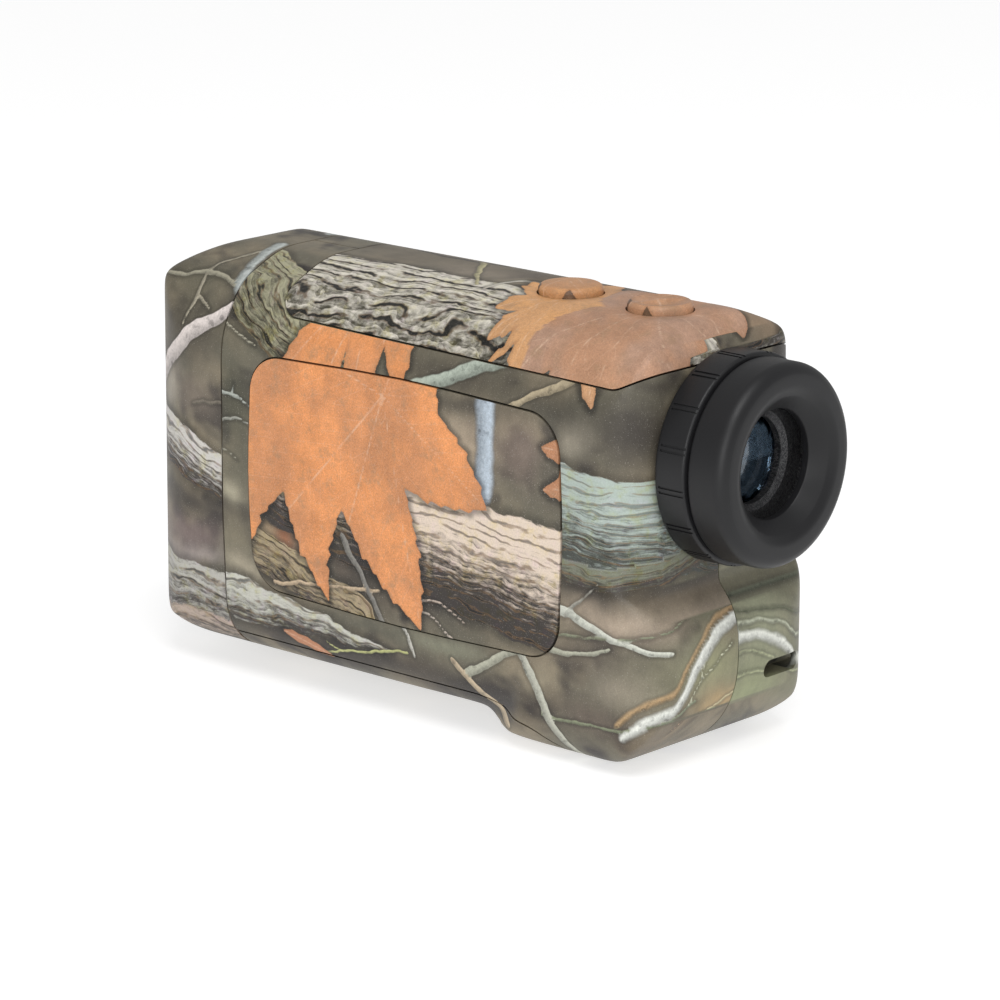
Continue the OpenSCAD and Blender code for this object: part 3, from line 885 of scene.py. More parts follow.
SHELL = Drawing(
    spots=(
        Spot((34, 44), (4, 8), (0.075, 0.072, 0.048)),
        Spot((34, 33), (4, 4), (0.13, 0.12, 0.085)),
        Spot((35, 30), (2, 2), (0.36, 0.33, 0.24)),
        Spot((34, 23), (4, 4), (0.20, 0.175, 0.12)),
        Spot((32, 18), (5, 1.8), (0.34, 0.30, 0.22)),
        Spot((-10, 55), (12, 3), UMBER),
        Spot((-30, 53), (12, 4), (0.055, 0.05, 0.038)),
        Spot((-34, 49.5), (3, 2.6), (0.27, 0.24, 0.185)),
        Spot((-43, 51), (6, 6), DUSK),
        Spot((-38, 27.4), (8, 3), DUSK),
        Spot((-42, 23.4), (8, 2.6), (0.36, 0.29, 0.22)),
        Spot((-36, 17.6), (7, 2.6), (0.11, 0.092, 0.07)),
        Spot((-42, 13.4), (5, 2.4), (0.24, 0.21, 0.16)),
        Spot((-38, 8.4), (8, 2.6), (0.12, 0.095, 0.075)),
        Spot((-27, 12.5), (4, 2), (0.25, 0.215, 0.15)),
        Spot((6, 13.6), (12, 1.6), (0.10, 0.095, 0.07)),
        Spot((-9, 13.6), (7, 1.4), (0.21, 0.21, 0.15)),
        Spot((12, 8), (28, 2.6), (0.035, 0.028, 0.024)),
        Spot((-14, 7), (14, 3), (0.03, 0.024, 0.02)),
        Spot((-54, 26), (6, 2.6), (0.22, 0.22, 0.14)),
        Spot((-57, 15), (8, 5), (0.27, 0.27, 0.155)),
        Spot((-59, 8.5), (6, 2.6), (0.42, 0.30, 0.15)),
        Spot((-50, 5), (6, 2.5), (0.25, 0.19, 0.12)),
    ),
    limbs=(
        Limb(
            ((46, 71), (30, 61), (10, 48.5)),
            (11.5, 11.5), (0.36, 0.345, 0.23), (0.05, 0.046, 0.03), 0.35, 1.0, 1.5,
        ),
        Limb(
            ((46, 13.6), (36, 13), (20, 12.1), (3, 10.4)),
            (9.4, 0.8), (0.50, 0.50, 0.44), DUSK, 0.55, 0.8, 1.7,
        ),
        Limb(
            ((-12, 39), (-30, 38.4), (-43, 36.6), (-60, 35)),
            (15, 14), BLUE_BARK, (0.05, 0.055, 0.047), 0.75, 0.55, 1.3,
        ),
        Limb(
            ((-22, 30.6), (-36, 29.6), (-48, 30.4), (-66, 33)),
            (2.6, 4.4), (0.17, 0.18, 0.13), DUSK, 0.6, 0.5, 1.2,
        ),
    ),
    twigs=(
        Twig(((2, 51), (-7, 53.4), (-14, 56.8), (-24, 60)), (2.0, 2.4), (0.34, 0.38, 0.32), 0.16),
        Twig(((-19, 51), (-25, 54), (-34, 58.4)), (0.8, 1.5), (0.36, 0.30, 0.20)),
        Twig(((37, 45.4), (33.5, 44.8), (30, 44)), (0.6, 0.4), (0.36, 0.38, 0.34)),
        Twig(((34.6, 45.2), (34.2, 46.8)), (0.4, 0.25), (0.36, 0.38, 0.34)),
        Twig(((37, 40.6), (33.4, 42), (30, 40)), (0.45, 0.35), (0.30, 0.30, 0.26)),
        Twig(((37, 36.6), (33.6, 35)), (0.4, 0.3), (0.28, 0.27, 0.21)),
        Twig(((38, 56), (30, 53.6)), (0.35, 0.3), (0.36, 0.34, 0.26)),
        Twig(((-29, 24.4), (-38, 22.2), (-47.6, 19)), (1.5, 0.8), (0.52, 0.53, 0.46)),
        Twig(((-28, 19.6), (-38, 20.9), (-44, 21.2), (-54, 24.4)), (0.4, 0.35), (0.20, 0.21, 0.14)),
        Twig(((-28, 17.2), (-35, 17.6), (-41, 19.6)), (0.9, 0.5), (0.37, 0.37, 0.29)),
        Twig(((-32.6, 23), (-38.6, 28.8)), (0.7, 0.2), (0.28, 0.27, 0.23)),
        Twig(((-13, 10), (-18, 13.2), (-26, 17.4)), (1.3, 1.2), (0.38, 0.38, 0.30)),
        Twig(((-22.6, 18), (-27.4, 10), (-32, 1)), (1.2, 1.7), (0.43, 0.43, 0.36)),
        Twig(((-28, 7), (-38, 7.3), (-46, 7.8), (-53, 11)), (0.5, 0.45), (0.20, 0.22, 0.14)),
        Twig(((1.6, 17), (-1.8, 14), (-2.2, 11)), (0.7, 0.5), (0.46, 0.45, 0.40)),
        Twig(((-10, 12), (-14, 8), (-19, 3.4)), (0.7, 2.0), (0.47, 0.38, 0.26)),
        Twig(((17.4, 7.2), (12, 8.6), (6, 9.6), (-1, 11.2)), (0.4, 0.45), (0.46, 0.47, 0.20)),
        Twig(((13.2, 8.2), (16.2, 9.6)), (0.35, 0.3), (0.46, 0.47, 0.20)),
        Twig(
            ((-43, 6.6), (-50, 11.6), (-53.5, 16.6), (-58, 20.9), (-68, 23.4)),
            (1.2, 2.4), (0.64, 0.65, 0.60), 0.45,
        ),
        Twig(
            ((-42, 8.4), (-48.6, 13.6), (-52.3, 18.4), (-57, 22.6), (-68, 25)),
            (0.7, 0.9), (0.40, 0.27, 0.14), 0.4,
        ),
        Twig(((-51, 10), (-54, 14), (-61, 18)), (0.3, 0.35), (0.52, 0.52, 0.38)),
        Twig(((-54.4, 14.2), (-54.8, 16.6)), (0.3, 0.25), (0.52, 0.52, 0.38)),
        Twig(((-47, 6), (-57, 9), (-68, 11.6)), (0.4, 0.45), (0.50, 0.44, 0.27)),
        Twig(((-46, 4.6), (-56, 7), (-68, 9.6)), (0.4, 0.4), (0.42, 0.27, 0.17)),
        Twig(((-50, 27), (-57, 25.6), (-68, 28)), (0.35, 0.35), (0.12, 0.13, 0.09), 0.2),
    ),
    leaves=(
        Leaf(
            (8, 70),
            (
                (25, 48.6), (19, 47), (16, 47), (11.2, 56.6), (9.2, 46), (4.3, 57), (1.6, 46),
                (-0.8, 60), (-4, 78), (8, 80), (16, 78), (16.2, 62),
            ),
            ORANGE,
            RUST,
            0.8,
        ),
        Leaf((22, 8.6), ((25.4, 9.4), (22, 9.4), (15.8, 6.6), (21, 7.4)), (0.48, 0.21, 0.11), RUST, 0.3),
        Leaf(
            (-35, 58), ((-32.8, 60), (-34, 57), (-36.9, 54.2), (-36.4, 57.6)), (0.60, 0.34, 0.18), RUST, 0.3,
        ),
    ),
)

PAD = Drawing(
    spots=(
        Spot((-13, 45.5), (5, 4.4), (0.36, 0.29, 0.21)),
        Spot((-14, 51), (12, 1.8), UMBER),
        Spot((-24, 45), (4.5, 4), (0.20, 0.155, 0.125)),
        Spot((-30, 42), (4, 4), (0.09, 0.08, 0.062)),
        Spot((26, 25.4), (3, 1.8), (0.42, 0.31, 0.19)),
        Spot((22.6, 25), (2.2, 2.6), (0.36, 0.15, 0.075)),
        Spot((24, 18), (9, 2.2), UMBER),
        Spot((9, 21), (8, 5), (0.05, 0.042, 0.034)),
        Spot((12, 25), (2, 4), (0.17, 0.13, 0.10)),
        Spot((-6, 21), (10, 4), (0.045, 0.038, 0.034)),
    ),
    limbs=(
        Limb(((40, 25), (27, 21), (8, 15)), (7, 6), (0.36, 0.29, 0.18), DUSK, 0.4, 1.0, 1.4),
        Limb(
            ((24, 33), (0, 29), (-12, 28.4), (-30, 26), (-60, 24)),
            (14, 22), (0.66, 0.55, 0.45), (0.038, 0.032, 0.028), 1.15, 0.75, 1.5,
        ),
    ),
    twigs=(
        Twig(((-17, 58), (-17.4, 48), (-17, 38.6)), (3.4, 3.0), (0.40, 0.46, 0.52), 0.6),
        Twig(((26, 17), (17, 18.5), (4, 19.6)), (0.6, 0.5), (0.48, 0.37, 0.25)),
        Twig(((11.4, 27), (7, 20.5), (3.2, 14.6)), (1.1, 0.8), (0.20, 0.19, 0.17)),
        Twig(((-3, 19.6), (-7, 20.8), (-10.5, 19.4), (-12.8, 18)), (0.4, 0.35), (0.44, 0.36, 0.30)),
        Twig(((-3.4, 18.8), (-7, 17.8), (-10.8, 15.2)), (0.5, 0.4), (0.46, 0.40, 0.34)),
    ),
    leaves=(
        Leaf(
            (3, 50),
            (
                (31.6, 19.6), (23.4, 32), (14.4, 16), (11.3, 31.2), (-4.4, 15.2), (-1.2, 36.8),
                (-17.8, 36.2), (-8, 49), (-3, 64), (12, 66), (44, 62), (36, 40),
            ),
            ORANGE,
            RUST,
            1.0,
            0.06,
        ),
        Leaf(
            (-31.5, 47.4), ((-28, 47.4), (-30.4, 46), (-34, 45.4), (-34, 49.6)),
            (0.48, 0.23, 0.12), RUST, 0.3,
        ),
        Leaf(
            (-31.6, 41.8), ((-28.4, 41.2), (-31, 40.4), (-34, 40), (-34, 44)), (0.48, 0.23, 0.12), RUST, 0.3,
        ),
    ),
)

COVER = Drawing(
    spots=(
        Spot((-46, 64), (8, 8), (0.38, 0.22, 0.14)),
        Spot((12, 84), (24, 9), (0.15, 0.125, 0.09)),
        Spot((2, 79), (7, 4), (0.24, 0.20, 0.15)),
        Spot((-14, 88), (10, 8), (0.14, 0.11, 0.08)),
        Spot((-34, 94), (14, 8), (0.28, 0.18, 0.115)),
    ),
    limbs=(
        Limb(
            ((60, 62), (28, 66), (8, 66), (-14, 66.4), (-60, 67)),
            (19, 17), COVER_BARK, (0.05, 0.045, 0.03), 0.25, 1.3, 2.5,
        ),
        Limb(((50, 106), (10, 99), (-20, 100), (-60, 106)), (12, 11), PALE_BARK, DUSK, 0.6, 0.9),
    ),
    twigs=(
        Twig(((6, 85), (1, 78), (-3, 73)), (1.1, 0.6), (0.42, 0.38, 0.22)),
        Twig(((-10, 82), (-6, 77), (-5, 72)), (1.1, 0.6), (0.48, 0.45, 0.38)),
        Twig(((26, 88), (12, 84), (2, 86)), (0.7, 0.5), DUSK),
    ),
    leaves=(
        Leaf(
            (-19, 77),
            (
                (-14, 60.4), (-17.6, 62.6), (-15, 57), (-19.4, 61), (-21, 55), (-25, 61.6),
                (-31, 57), (-29, 70), (-30, 80), (-22, 82), (-18, 90), (-14, 82),
                (-8, 80), (-12.6, 73), (-10.8, 66.6), (-15, 67),
            ),
            (0.70, 0.365, 0.15),
            (0.52, 0.29, 0.15),
            0.8,
        ),
        Leaf(
            (-34.5, 78),
            (
                (-22, 57.6), (-27.6, 58.4), (-29.5, 54), (-33.4, 56.6), (-37.5, 53), (-41, 56.6),
                (-50, 55), (-50, 65), (-56, 70), (-50, 78), (-52, 90), (-38, 88),
                (-30, 96), (-28.5, 86), (-22, 84), (-27, 74),
            ),
            (0.47, 0.255, 0.15),
            (0.40, 0.265, 0.20),
            0.7,
            0.12,
        ),
    ),
)

CAPS = Drawing(
    spots=(Spot((-20, 80), (40, 20), (0.30, 0.16, 0.085), 1.0),),
    limbs=(
        Limb(((6, 84), (-12, 74), (-20, 66), (-30, 58)), (4.4, 4.4), (0.50, 0.45, 0.36), DUSK, 0.6, 0.9, 1.1),
    ),
    leaves=(
        Leaf(
            (-14, 82),
            ((-8, 88), (-13, 86), (-18, 92), (-24, 84), (-23, 75), (-18.5, 77), (-14.6, 71), (-13, 77)),
            (0.62, 0.33, 0.14), RUST, 0.6,
        ),
        Leaf(
            (-31, 82),
            ((-25, 88), (-30, 87), (-36, 92), (-40, 82), (-40, 72), (-34, 76), (-30, 70), (-30.4, 77)),
            (0.50, 0.27, 0.15), (0.36, 0.21, 0.14), 0.6,
        ),
    ),
)

FAR_CORNER = Drawing(
    spots=(
        Spot((-56, 20), (9, 9), (0.29, 0.30, 0.20), 1.0),
        Spot((-56, 8), (9, 6), (0.25, 0.27, 0.15), 1.0),
        Spot((-42, 18), (7, 14), (0.15, 0.145, 0.10)),
    ),
    twigs=(
        Twig(((-68, 18.8), (-59, 18.6), (-53, 16.4), (-46, 11)), (1.7, 1.2), (0.68, 0.69, 0.63), 0.45),
        Twig(((-68, 25), (-56, 23.8), (-44, 24.6)), (0.5, 0.5), (0.12, 0.13, 0.09), 0.2),
        Twig(((-68, 22.8), (-58, 22), (-50, 20.6), (-42, 17)), (0.35, 0.4), (0.13, 0.14, 0.09), 0.2),
        Twig(((-68, 20.8), (-58, 20.6), (-51, 18.2), (-43, 13)), (0.6, 0.4), (0.48, 0.50, 0.38), 0.25),
        Twig(((-68, 16.4), (-60, 16.2), (-54, 14)), (0.4, 0.4), (0.40, 0.42, 0.26), 0.25),
        Twig(((-40, 6), (-50, 12), (-66, 13)), (0.3, 0.4), (0.38, 0.40, 0.24), 0.2),
    ),
)


def turned_about(point: Point) -> Point:
    """Where a point of the left side's drawing lies on the right side, turned end for end."""
    along, up = point
    return (14 - along, WRAP - up)


def carried_over(point: Point) -> Point:
    """Where a point of the left side's drawing lies on the right side, straight across."""
    along, up = point
    return (along, WRAP - up)


@dataclass
class PrintedSkin:
    """Measures a drawing at every vertex of a moulding and stores what the shader reads."""

    places: Stations

    def unroll(self, at: np.ndarray) -> np.ndarray:
        """Places on the unrolled housing: along it, and round it from the left foot over the top."""
        x, y, z = at.T
        inset = np.maximum(0, TURN_Y - np.abs(y))
        over = np.where(z > self.places.top_z - 10, inset, np.where(z < 8, -inset, 0))
        rear = x < np.where(z > 28, self.places.rear_x, self.places.lobe_rear_x) + 1.5
        over = np.where(rear & (z < self.places.top_z - 5), 0, over)
        lift = z + over
        along = x - np.where(rear, inset, 0) + np.where(x > self.places.front_x - 1.5, inset, 0)
        return np.stack([along, np.where(y < 0, WRAP - lift, lift)], axis=1)

    def dress(self, solid: Solid, drawing: Drawing) -> None:
        """Store the print's measures on a moulding.

        Args:
            solid: the finished moulding.
            drawing: what is printed on it.
        """
        mesh = solid.obj.data
        count = len(mesh.vertices)
        places, normals = np.empty(count * 3), np.empty(count * 3)
        mesh.vertices.foreach_get("co", places)
        mesh.vertex_normals.foreach_get("vector", normals)
        at, out = places.reshape(-1, 3) / MM, normals.reshape(-1, 3)
        flat = self.unroll(at)
        sway = np.stack([ripple(flat, 26, 1.0, 3), ripple(flat, 26, 1.0, 4)], axis=1)
        self._store(mesh, "ground", self._ground(flat + sway, drawing.spots))
        self._limbs(mesh, flat, drawing.limbs)
        self._twigs(mesh, flat, drawing.twigs)
        self._leaves(mesh, flat, drawing.leaves)
        core = np.stack([np.clip(at[:, 0], -34, 44), at[:, 1] * 0, np.clip(at[:, 2], 18, 50)], axis=1)
        self._store(mesh, "printed", np.clip(np.sum(out * (at - core), axis=1) + 0.5, 0, 1))

    @staticmethod
    def _store(mesh: bpy.types.Mesh, name: str, values: np.ndarray) -> None:
        """Store one value or vector for each vertex."""
        if values.ndim == 1:
            layer = mesh.attributes.new(name, "FLOAT", "POINT")
            layer.data.foreach_set("value", values.astype(np.float32))
        else:
            layer = mesh.attributes.new(name, "FLOAT_VECTOR", "POINT")
            layer.data.foreach_set("vector", values.astype(np.float32).ravel())

    @staticmethod
    def _ground(flat: np.ndarray, spots: Sequence[Spot]) -> np.ndarray:
        """Blurred colours behind the branches."""
        colour = np.tile(np.array(UNDERGROWTH), (len(flat), 1))
        colour = lerp_colour(colour, CLEARING, np.clip(0.4 + ripple(flat, 30, 0.8, 11), 0, 1))
        colour = lerp_colour(colour, DUSK, np.clip(ripple(flat, 17, 1.1, 12), 0, 1))
        for spot in spots:
            off = (flat - spot.at) / spot.size
            colour = lerp_colour(colour, spot.tint, np.exp(-np.sum(off * off, axis=1)) * spot.strength)
        return colour

    def _limbs(self, mesh: bpy.types.Mesh, flat: np.ndarray, limbs: Sequence[Limb]) -> None:
        """Store the uppermost limb at each vertex."""
        count = len(flat)
        edge = np.full(count, -9.0)
        at, form = np.zeros((count, 3)), np.zeros((count, 3))
        light, dark = np.zeros((count, 3)), np.zeros((count, 3))
        wander = np.stack([ripple(flat, 15, 0.5, 21), ripple(flat, 15, 0.5, 22)], axis=1)
        for index, limb in enumerate(limbs):
            traced = Traced.measure(flat + wander, limb.path, limb.widths)
            reach = traced.half - np.abs(traced.across)
            on_top = (reach > 0) | (reach > edge)
            edge = np.where(on_top, reach, edge)
            rows = np.stack([traced.along, traced.across / limb.pitch, np.full(count, index * 7.3)], axis=1)
            at = np.where(on_top[:, None], rows, at)
            ratio = np.clip(traced.across / np.maximum(traced.half, 0.1), -1.5, 1.5)
            rows = np.stack([ratio, np.full(count, limb.shade), np.full(count, limb.furrow)], axis=1)
            form = np.where(on_top[:, None], rows, form)
            light = np.where(on_top[:, None], limb.light, light)
            dark = np.where(on_top[:, None], limb.dark, dark)
        measures = {
            "limb_at": at, "limb_form": form, "limb_light": light, "limb_dark": dark, "limb_edge": edge,
        }
        for name, values in measures.items():
            self._store(mesh, name, values)

    def _twigs(self, mesh: bpy.types.Mesh, flat: np.ndarray, twigs: Sequence[Twig]) -> None:
        """Store the nearest twig at each vertex."""
        count = len(flat)
        edge, side, blur = np.full(count, -9.0), np.zeros(count), np.full(count, 0.07)
        tint = np.zeros((count, 3))
        wander = np.stack([ripple(flat, 9, 0.25, 31), ripple(flat, 9, 0.25, 32)], axis=1)
        for twig in twigs:
            traced = Traced.measure(flat + wander, twig.path, twig.widths)
            reach = traced.half - np.abs(traced.across)
            nearer = reach > edge
            edge = np.where(nearer, reach, edge)
            side = np.where(nearer, traced.across / np.maximum(traced.half, 0.1), side)
            tint = np.where(nearer[:, None], twig.tint, tint)
            blur = np.where(nearer, twig.blur, blur)
        self._store(mesh, "twig_form", np.stack([edge, np.clip(side, -2, 2), blur], axis=1))
        self._store(mesh, "twig_tint", tint)

    def _leaves(self, mesh: bpy.types.Mesh, flat: np.ndarray, leaves: Sequence[Leaf]) -> None:
        """Store the uppermost leaf at each vertex."""
        count = len(flat)
        edge, rib, bone = np.full(count, -9.0), np.full(count, 9.0), np.zeros(count)
        tint = np.zeros((count, 3))
        for leaf in leaves:
            reach = leaf.rim_distance(flat)
            near_rib, herring = leaf.ribs(flat)
            on_top = (reach > 0) | (reach > edge)
            edge = np.where(on_top, reach, edge)
            rib = np.where(on_top, near_rib, rib)
            bone = np.where(on_top, herring, bone)
            low = np.clip(0.5 + ripple(flat, 22, 0.9, 41), 0, 1)
            rows = lerp_colour(np.tile(np.array(leaf.tint), (count, 1)), leaf.tint_low, low * 0.55)
            tint = np.where(on_top[:, None], rows, tint)
        self._store(mesh, "leaf_form", np.stack([edge, rib, bone], axis=1))
        self._store(mesh, "leaf_tint", tint)


# ---------------------------------------------------------------- finishes

SAND_SPECK = (0.62, 0.58, 0.52)
LICHEN = (0.46, 0.43, 0.14)
BLOOM = (0.62, 0.52, 0.68)
WARM_CRACK = (0.30, 0.17, 0.07)
DULL_LEAF = (0.30, 0.19, 0.11)
WORN_LEAF = (0.66, 0.44, 0.30)
PALE_RIB = (0.72, 0.52, 0.38)
LEAF_RIM = (0.28, 0.12, 0.05)


@dataclass(frozen=True)
class WoodlandFilm:
    """Printed film on moulded plastic: satin, with a fine sandy grain."""

    name: str
    grain: float = 1.0
    roughness: float = 0.46
    plastic: Tint = (0.030, 0.030, 0.024)

    def material(self) -> bpy.types.Material:
        """Build the film from the measures stored on the moulding."""
        palette = Palette(self.name)
        at = palette.place()
        sand = palette.noise(at, 4.2, 3, 0.7)
        colour = self._ground(palette, at)
        colour = self._limbs(palette, at, colour)
        colour = self._twigs(palette, at, colour)
        colour = self._leaves(palette, at, sand, colour)
        specks = palette.noise(at, 6.5, 2, 0.6).ramp(0.63, 0.74) * (0.32 * self.grain)
        colour = palette.mix(specks, colour, SAND_SPECK)
        colour = palette.shade(colour, 1 + (sand - 0.5) * (0.55 * self.grain))
        printed = palette.attribute("printed", "Fac")
        return palette.set(
            Base_Color=palette.mix(printed, self.plastic, colour),
            Roughness=self.roughness + (sand - 0.5) * 0.25,
            Normal=palette.bump(sand, 0.05 * self.grain, 0.6),
            Specular_IOR_Level=0.3,
        )

    @staticmethod
    def _ground(palette: Palette, at: Ink) -> Ink:
        """Blurred undergrowth."""
        patches = palette.noise(at, 0.22, 4, 0.6)
        fine = palette.noise(palette.scaled(at, (1.0, 1.0, 0.45)), 0.9, 4, 0.65)
        return palette.shade(palette.attribute("ground"), 0.5 + patches * 0.6 + fine * 0.4)

    @staticmethod
    def _limbs(palette: Palette, at: Ink, under: Ink) -> Ink:
        """Furrowed bark, with the furrows along each limb."""
        edge = palette.attribute("limb_edge", "Fac")
        along, across, seed = palette.attribute("limb_at").parts()
        ratio, shade, furrow = palette.attribute("limb_form").parts()
        drift = palette.noise(palette.vector(along * 0.07 + seed, across * 0.33, seed), 1.0, 4, 0.55)
        lane = (across + (drift - 0.5) * 3.4 + seed).fraction()
        broken = palette.noise(palette.vector(along * 0.16, across * 0.6 + seed, seed), 1.0, 3, 0.6)
        fibres = palette.noise(palette.vector(along * 0.45, across * 3.4 + seed, seed), 1.0, 5, 0.66, 0.4)
        knots = palette.noise(palette.vector(along * 0.9, across * 1.6, seed), 1.0, 4, 0.7)
        trough = abs(lane - 0.5).ramp(0.2, 0.03) * broken.ramp(0.36, 0.56)
        tone = ratio * shade + 0.1 + (fibres - 0.5) * 1.9 + (knots - 0.5) * 0.9 + (lane - 0.5) * 0.35
        light, dark = palette.attribute("limb_light"), palette.attribute("limb_dark")
        bark = palette.mix(tone.ramp(-0.55, 0.6), dark, light)
        lichen = palette.noise(at, 0.5, 4, 0.65)
        bark = palette.mix(lichen.ramp(0.5, 0.7) * 0.6, bark, LICHEN, "SOFT_LIGHT")
        bark = palette.mix(lichen.ramp(0.46, 0.3) * 0.5, bark, BLOOM, "SOFT_LIGHT")
        warm = abs(trough - 0.45).ramp(0.4, 0.1) * 0.35
        bark = palette.mix(warm, bark, WARM_CRACK)
        bark = palette.shade(bark, 1 - (trough * furrow * 0.9).below(0.95))
        under = palette.shade(under, 1 - edge.ramp(-2.0, 0.0) * 0.5)
        return palette.mix((edge + (fibres - 0.5) * 1.2).ramp(-0.14, 0.14), under, bark)

    @staticmethod
    def _twigs(palette: Palette, at: Ink, under: Ink) -> Ink:
        """Bare twigs, lighter along their upper side."""
        edge, side, blur = palette.attribute("twig_form").parts()
        knots = palette.noise(at, 1.6, 4, 0.65)
        rings = palette.noise(at, 0.8, 2, 0.5).ramp(0.6, 0.68) * 0.35
        tone = 0.62 + side.ramp(-0.9, 0.7) * 0.45 + (knots - 0.5) * 0.9 - rings
        twig = palette.shade(palette.attribute("twig_tint"), tone)
        under = palette.shade(under, 1 - edge.ramp(-0.7, -0.05) * 0.35)
        return palette.mix((edge / blur).ramp(-1.0, 1.0), under, twig)

    @staticmethod
    def _leaves(palette: Palette, at: Ink, sand: Ink, under: Ink) -> Ink:
        """Dry leaves with pale ribs, over their own soft shadow."""
        edge, rib, bone = palette.attribute("leaf_form").parts()
        mottle = palette.noise(at, 0.22, 5, 0.62)
        fine = palette.noise(at, 1.5, 4, 0.7)
        tone = 0.55 + mottle * 0.66 + (sand - 0.5) * 0.4 + (fine - 0.5) * 0.35
        leaf = palette.shade(palette.attribute("leaf_tint"), tone)
        dull = palette.noise(at, 0.34, 5, 0.66).ramp(0.5, 0.72) * 0.55
        leaf = palette.mix(dull, leaf, DULL_LEAF)
        worn = palette.noise(at, 1.1, 4, 0.7).ramp(0.58, 0.76) * 0.25
        leaf = palette.mix(worn, leaf, WORN_LEAF)
        veins = abs((bone / 3.1).fraction() - 0.5).ramp(0.45, 0.5) * 0.16
        broken = palette.noise(at, 0.5, 3, 0.6).ramp(0.35, 0.6)
        ribs = rib.ramp(0.26, 0.06) * 0.38
        leaf = palette.mix(ribs.above(veins) * broken, leaf, PALE_RIB)
        leaf = palette.mix(edge.ramp(0.5, 0.0) * 0.35, leaf, LEAF_RIM)
        under = palette.shade(under, 1 - edge.ramp(-1.3, -0.1) * 0.6)
        return palette.mix((edge + (sand - 0.5) * 0.3).ramp(-0.06, 0.08), under, leaf)


@dataclass(frozen=True)
class Moulded:
    """A moulded plastic, rubber, epoxy or film, with grain, slight mottling and handling marks."""

    name: str
    colour: Tint
    roughness: float = 0.5
    grain_size: float = 0.35
    grain_depth: float = 0.02
    mottle: float = 0.12
    sheen: float = 0.0
    coat: float = 0.0
    gloss: float = 0.4

    def material(self) -> bpy.types.Material:
        """Build the finish."""
        palette = Palette(self.name)
        at = palette.place()
        grain = palette.noise(at, 1 / self.grain_size, 4, 0.6)
        cloud = palette.noise(at, 0.16, 4, 0.6)
        rubbed = palette.noise(palette.scaled(at, (0.4, 1.0, 1.0)), 0.7, 5, 0.7).ramp(0.56, 0.78)
        tone = 1 + (cloud - 0.5) * (2 * self.mottle) + (grain - 0.5) * 0.15
        return palette.set(
            Base_Color=palette.shade(self.colour, tone),
            Roughness=self.roughness + (cloud - 0.5) * 0.16 - rubbed * 0.08,
            Normal=palette.bump(grain, self.grain_depth, 0.7),
            Sheen_Weight=self.sheen,
            Coat_Weight=self.coat,
            Specular_IOR_Level=self.gloss,
        )


@dataclass(frozen=True)
class Machined:
    """Turned or stamped metal, with fine lathe lines about the optical axis and small scratches."""

    name: str
    colour: Tint
    axis: Point = (0.0, 0.0)
    roughness: float = 0.32
    metallic: float = 1.0
    line_depth: float = 0.008

    def material(self) -> bpy.types.Material:
        """Build the finish."""
        palette = Palette(self.name)
        at = palette.place()
        x, y, z = at.parts()
        off_y, off_z = y - self.axis[0], z - self.axis[1]
        reach = palette.node("ShaderNodeMath", {"operation": "SQRT"}, {0: off_y * off_y + off_z * off_z})
        lines = palette.noise(palette.vector(reach * 5.0, x * 5.0, 0.0), 1.0, 3, 0.6)
        scratches = abs(palette.noise(palette.scaled(at, (0.5, 2.2, 1.1)), 1.6, 5, 0.7) - 0.5).ramp(0.03, 0.0)
        tarnish = palette.noise(at, 0.35, 4, 0.6)
        colour = palette.mix(scratches * 0.15, self.colour, (0.8, 0.8, 0.8))
        return palette.set(
            Base_Color=palette.shade(colour, 0.8 + tarnish * 0.4),
            Metallic=self.metallic,
            Roughness=self.roughness + (lines - 0.5) * 0.2 + tarnish * 0.08,
            Normal=palette.bump(lines, self.line_depth, 0.5),
        )


@dataclass(frozen=True)
class CoatedGlass:
    """Optical glass with a coloured coating and a trace of dust."""

    name: str
    colour: Tint = (0.86, 0.93, 0.95)
    coating: Tint = (0.72, 0.80, 0.88)
    clear: float = 1.0

    def material(self) -> bpy.types.Material:
        """Build the glass."""
        palette = Palette(self.name)
        at = palette.place()
        dust = palette.noise(at, 3.0, 4, 0.7).ramp(0.62, 0.8)
        wave = palette.noise(at, 0.12, 2, 0.5)
        colour = palette.mix(dust * 0.1, self.colour, (0.7, 0.7, 0.7))
        return palette.set(
            Base_Color=palette.shade(colour, 0.94 + wave * 0.1),
            Roughness=0.015 + dust * 0.12,
            Transmission_Weight=self.clear,
            IOR=1.52,
            Coat_Weight=1.0,
            Coat_Tint=self.coating,
            Specular_Tint=self.coating,
        )


@dataclass(frozen=True)
class CircuitBoard:
    """Glass-fibre board with a solder mask, copper traces and plated holes."""

    name: str
    mask: Tint = (0.012, 0.10, 0.045)

    def material(self) -> bpy.types.Material:
        """Build the board."""
        palette = Palette(self.name)
        at = palette.place()
        x, y, z = at.parts()
        bends = palette.noise(palette.vector(x * 0.16, y * 0.16, z), 1.0, 0, 0.5)
        lanes = abs(((y + z + bends * 9.0) / 1.3).fraction() - 0.5).ramp(0.1, 0.16)
        breaks = palette.noise(palette.vector(x * 0.3, y * 0.05, z), 1.0, 1, 0.5).ramp(0.46, 0.5)
        trace = (1 - lanes) * breaks
        pads = palette.cells(at, 0.42).ramp(0.2, 0.15)
        colour = palette.mix(trace * 0.6, self.mask, (0.03, 0.22, 0.09))
        return palette.set(
            Base_Color=palette.mix(pads, colour, (0.75, 0.52, 0.2)),
            Metallic=pads * 0.9,
            Roughness=0.34 + palette.noise(at, 1.2) * 0.1 - pads * 0.08,
            Normal=palette.bump(trace + pads, 0.03, 0.6),
        )


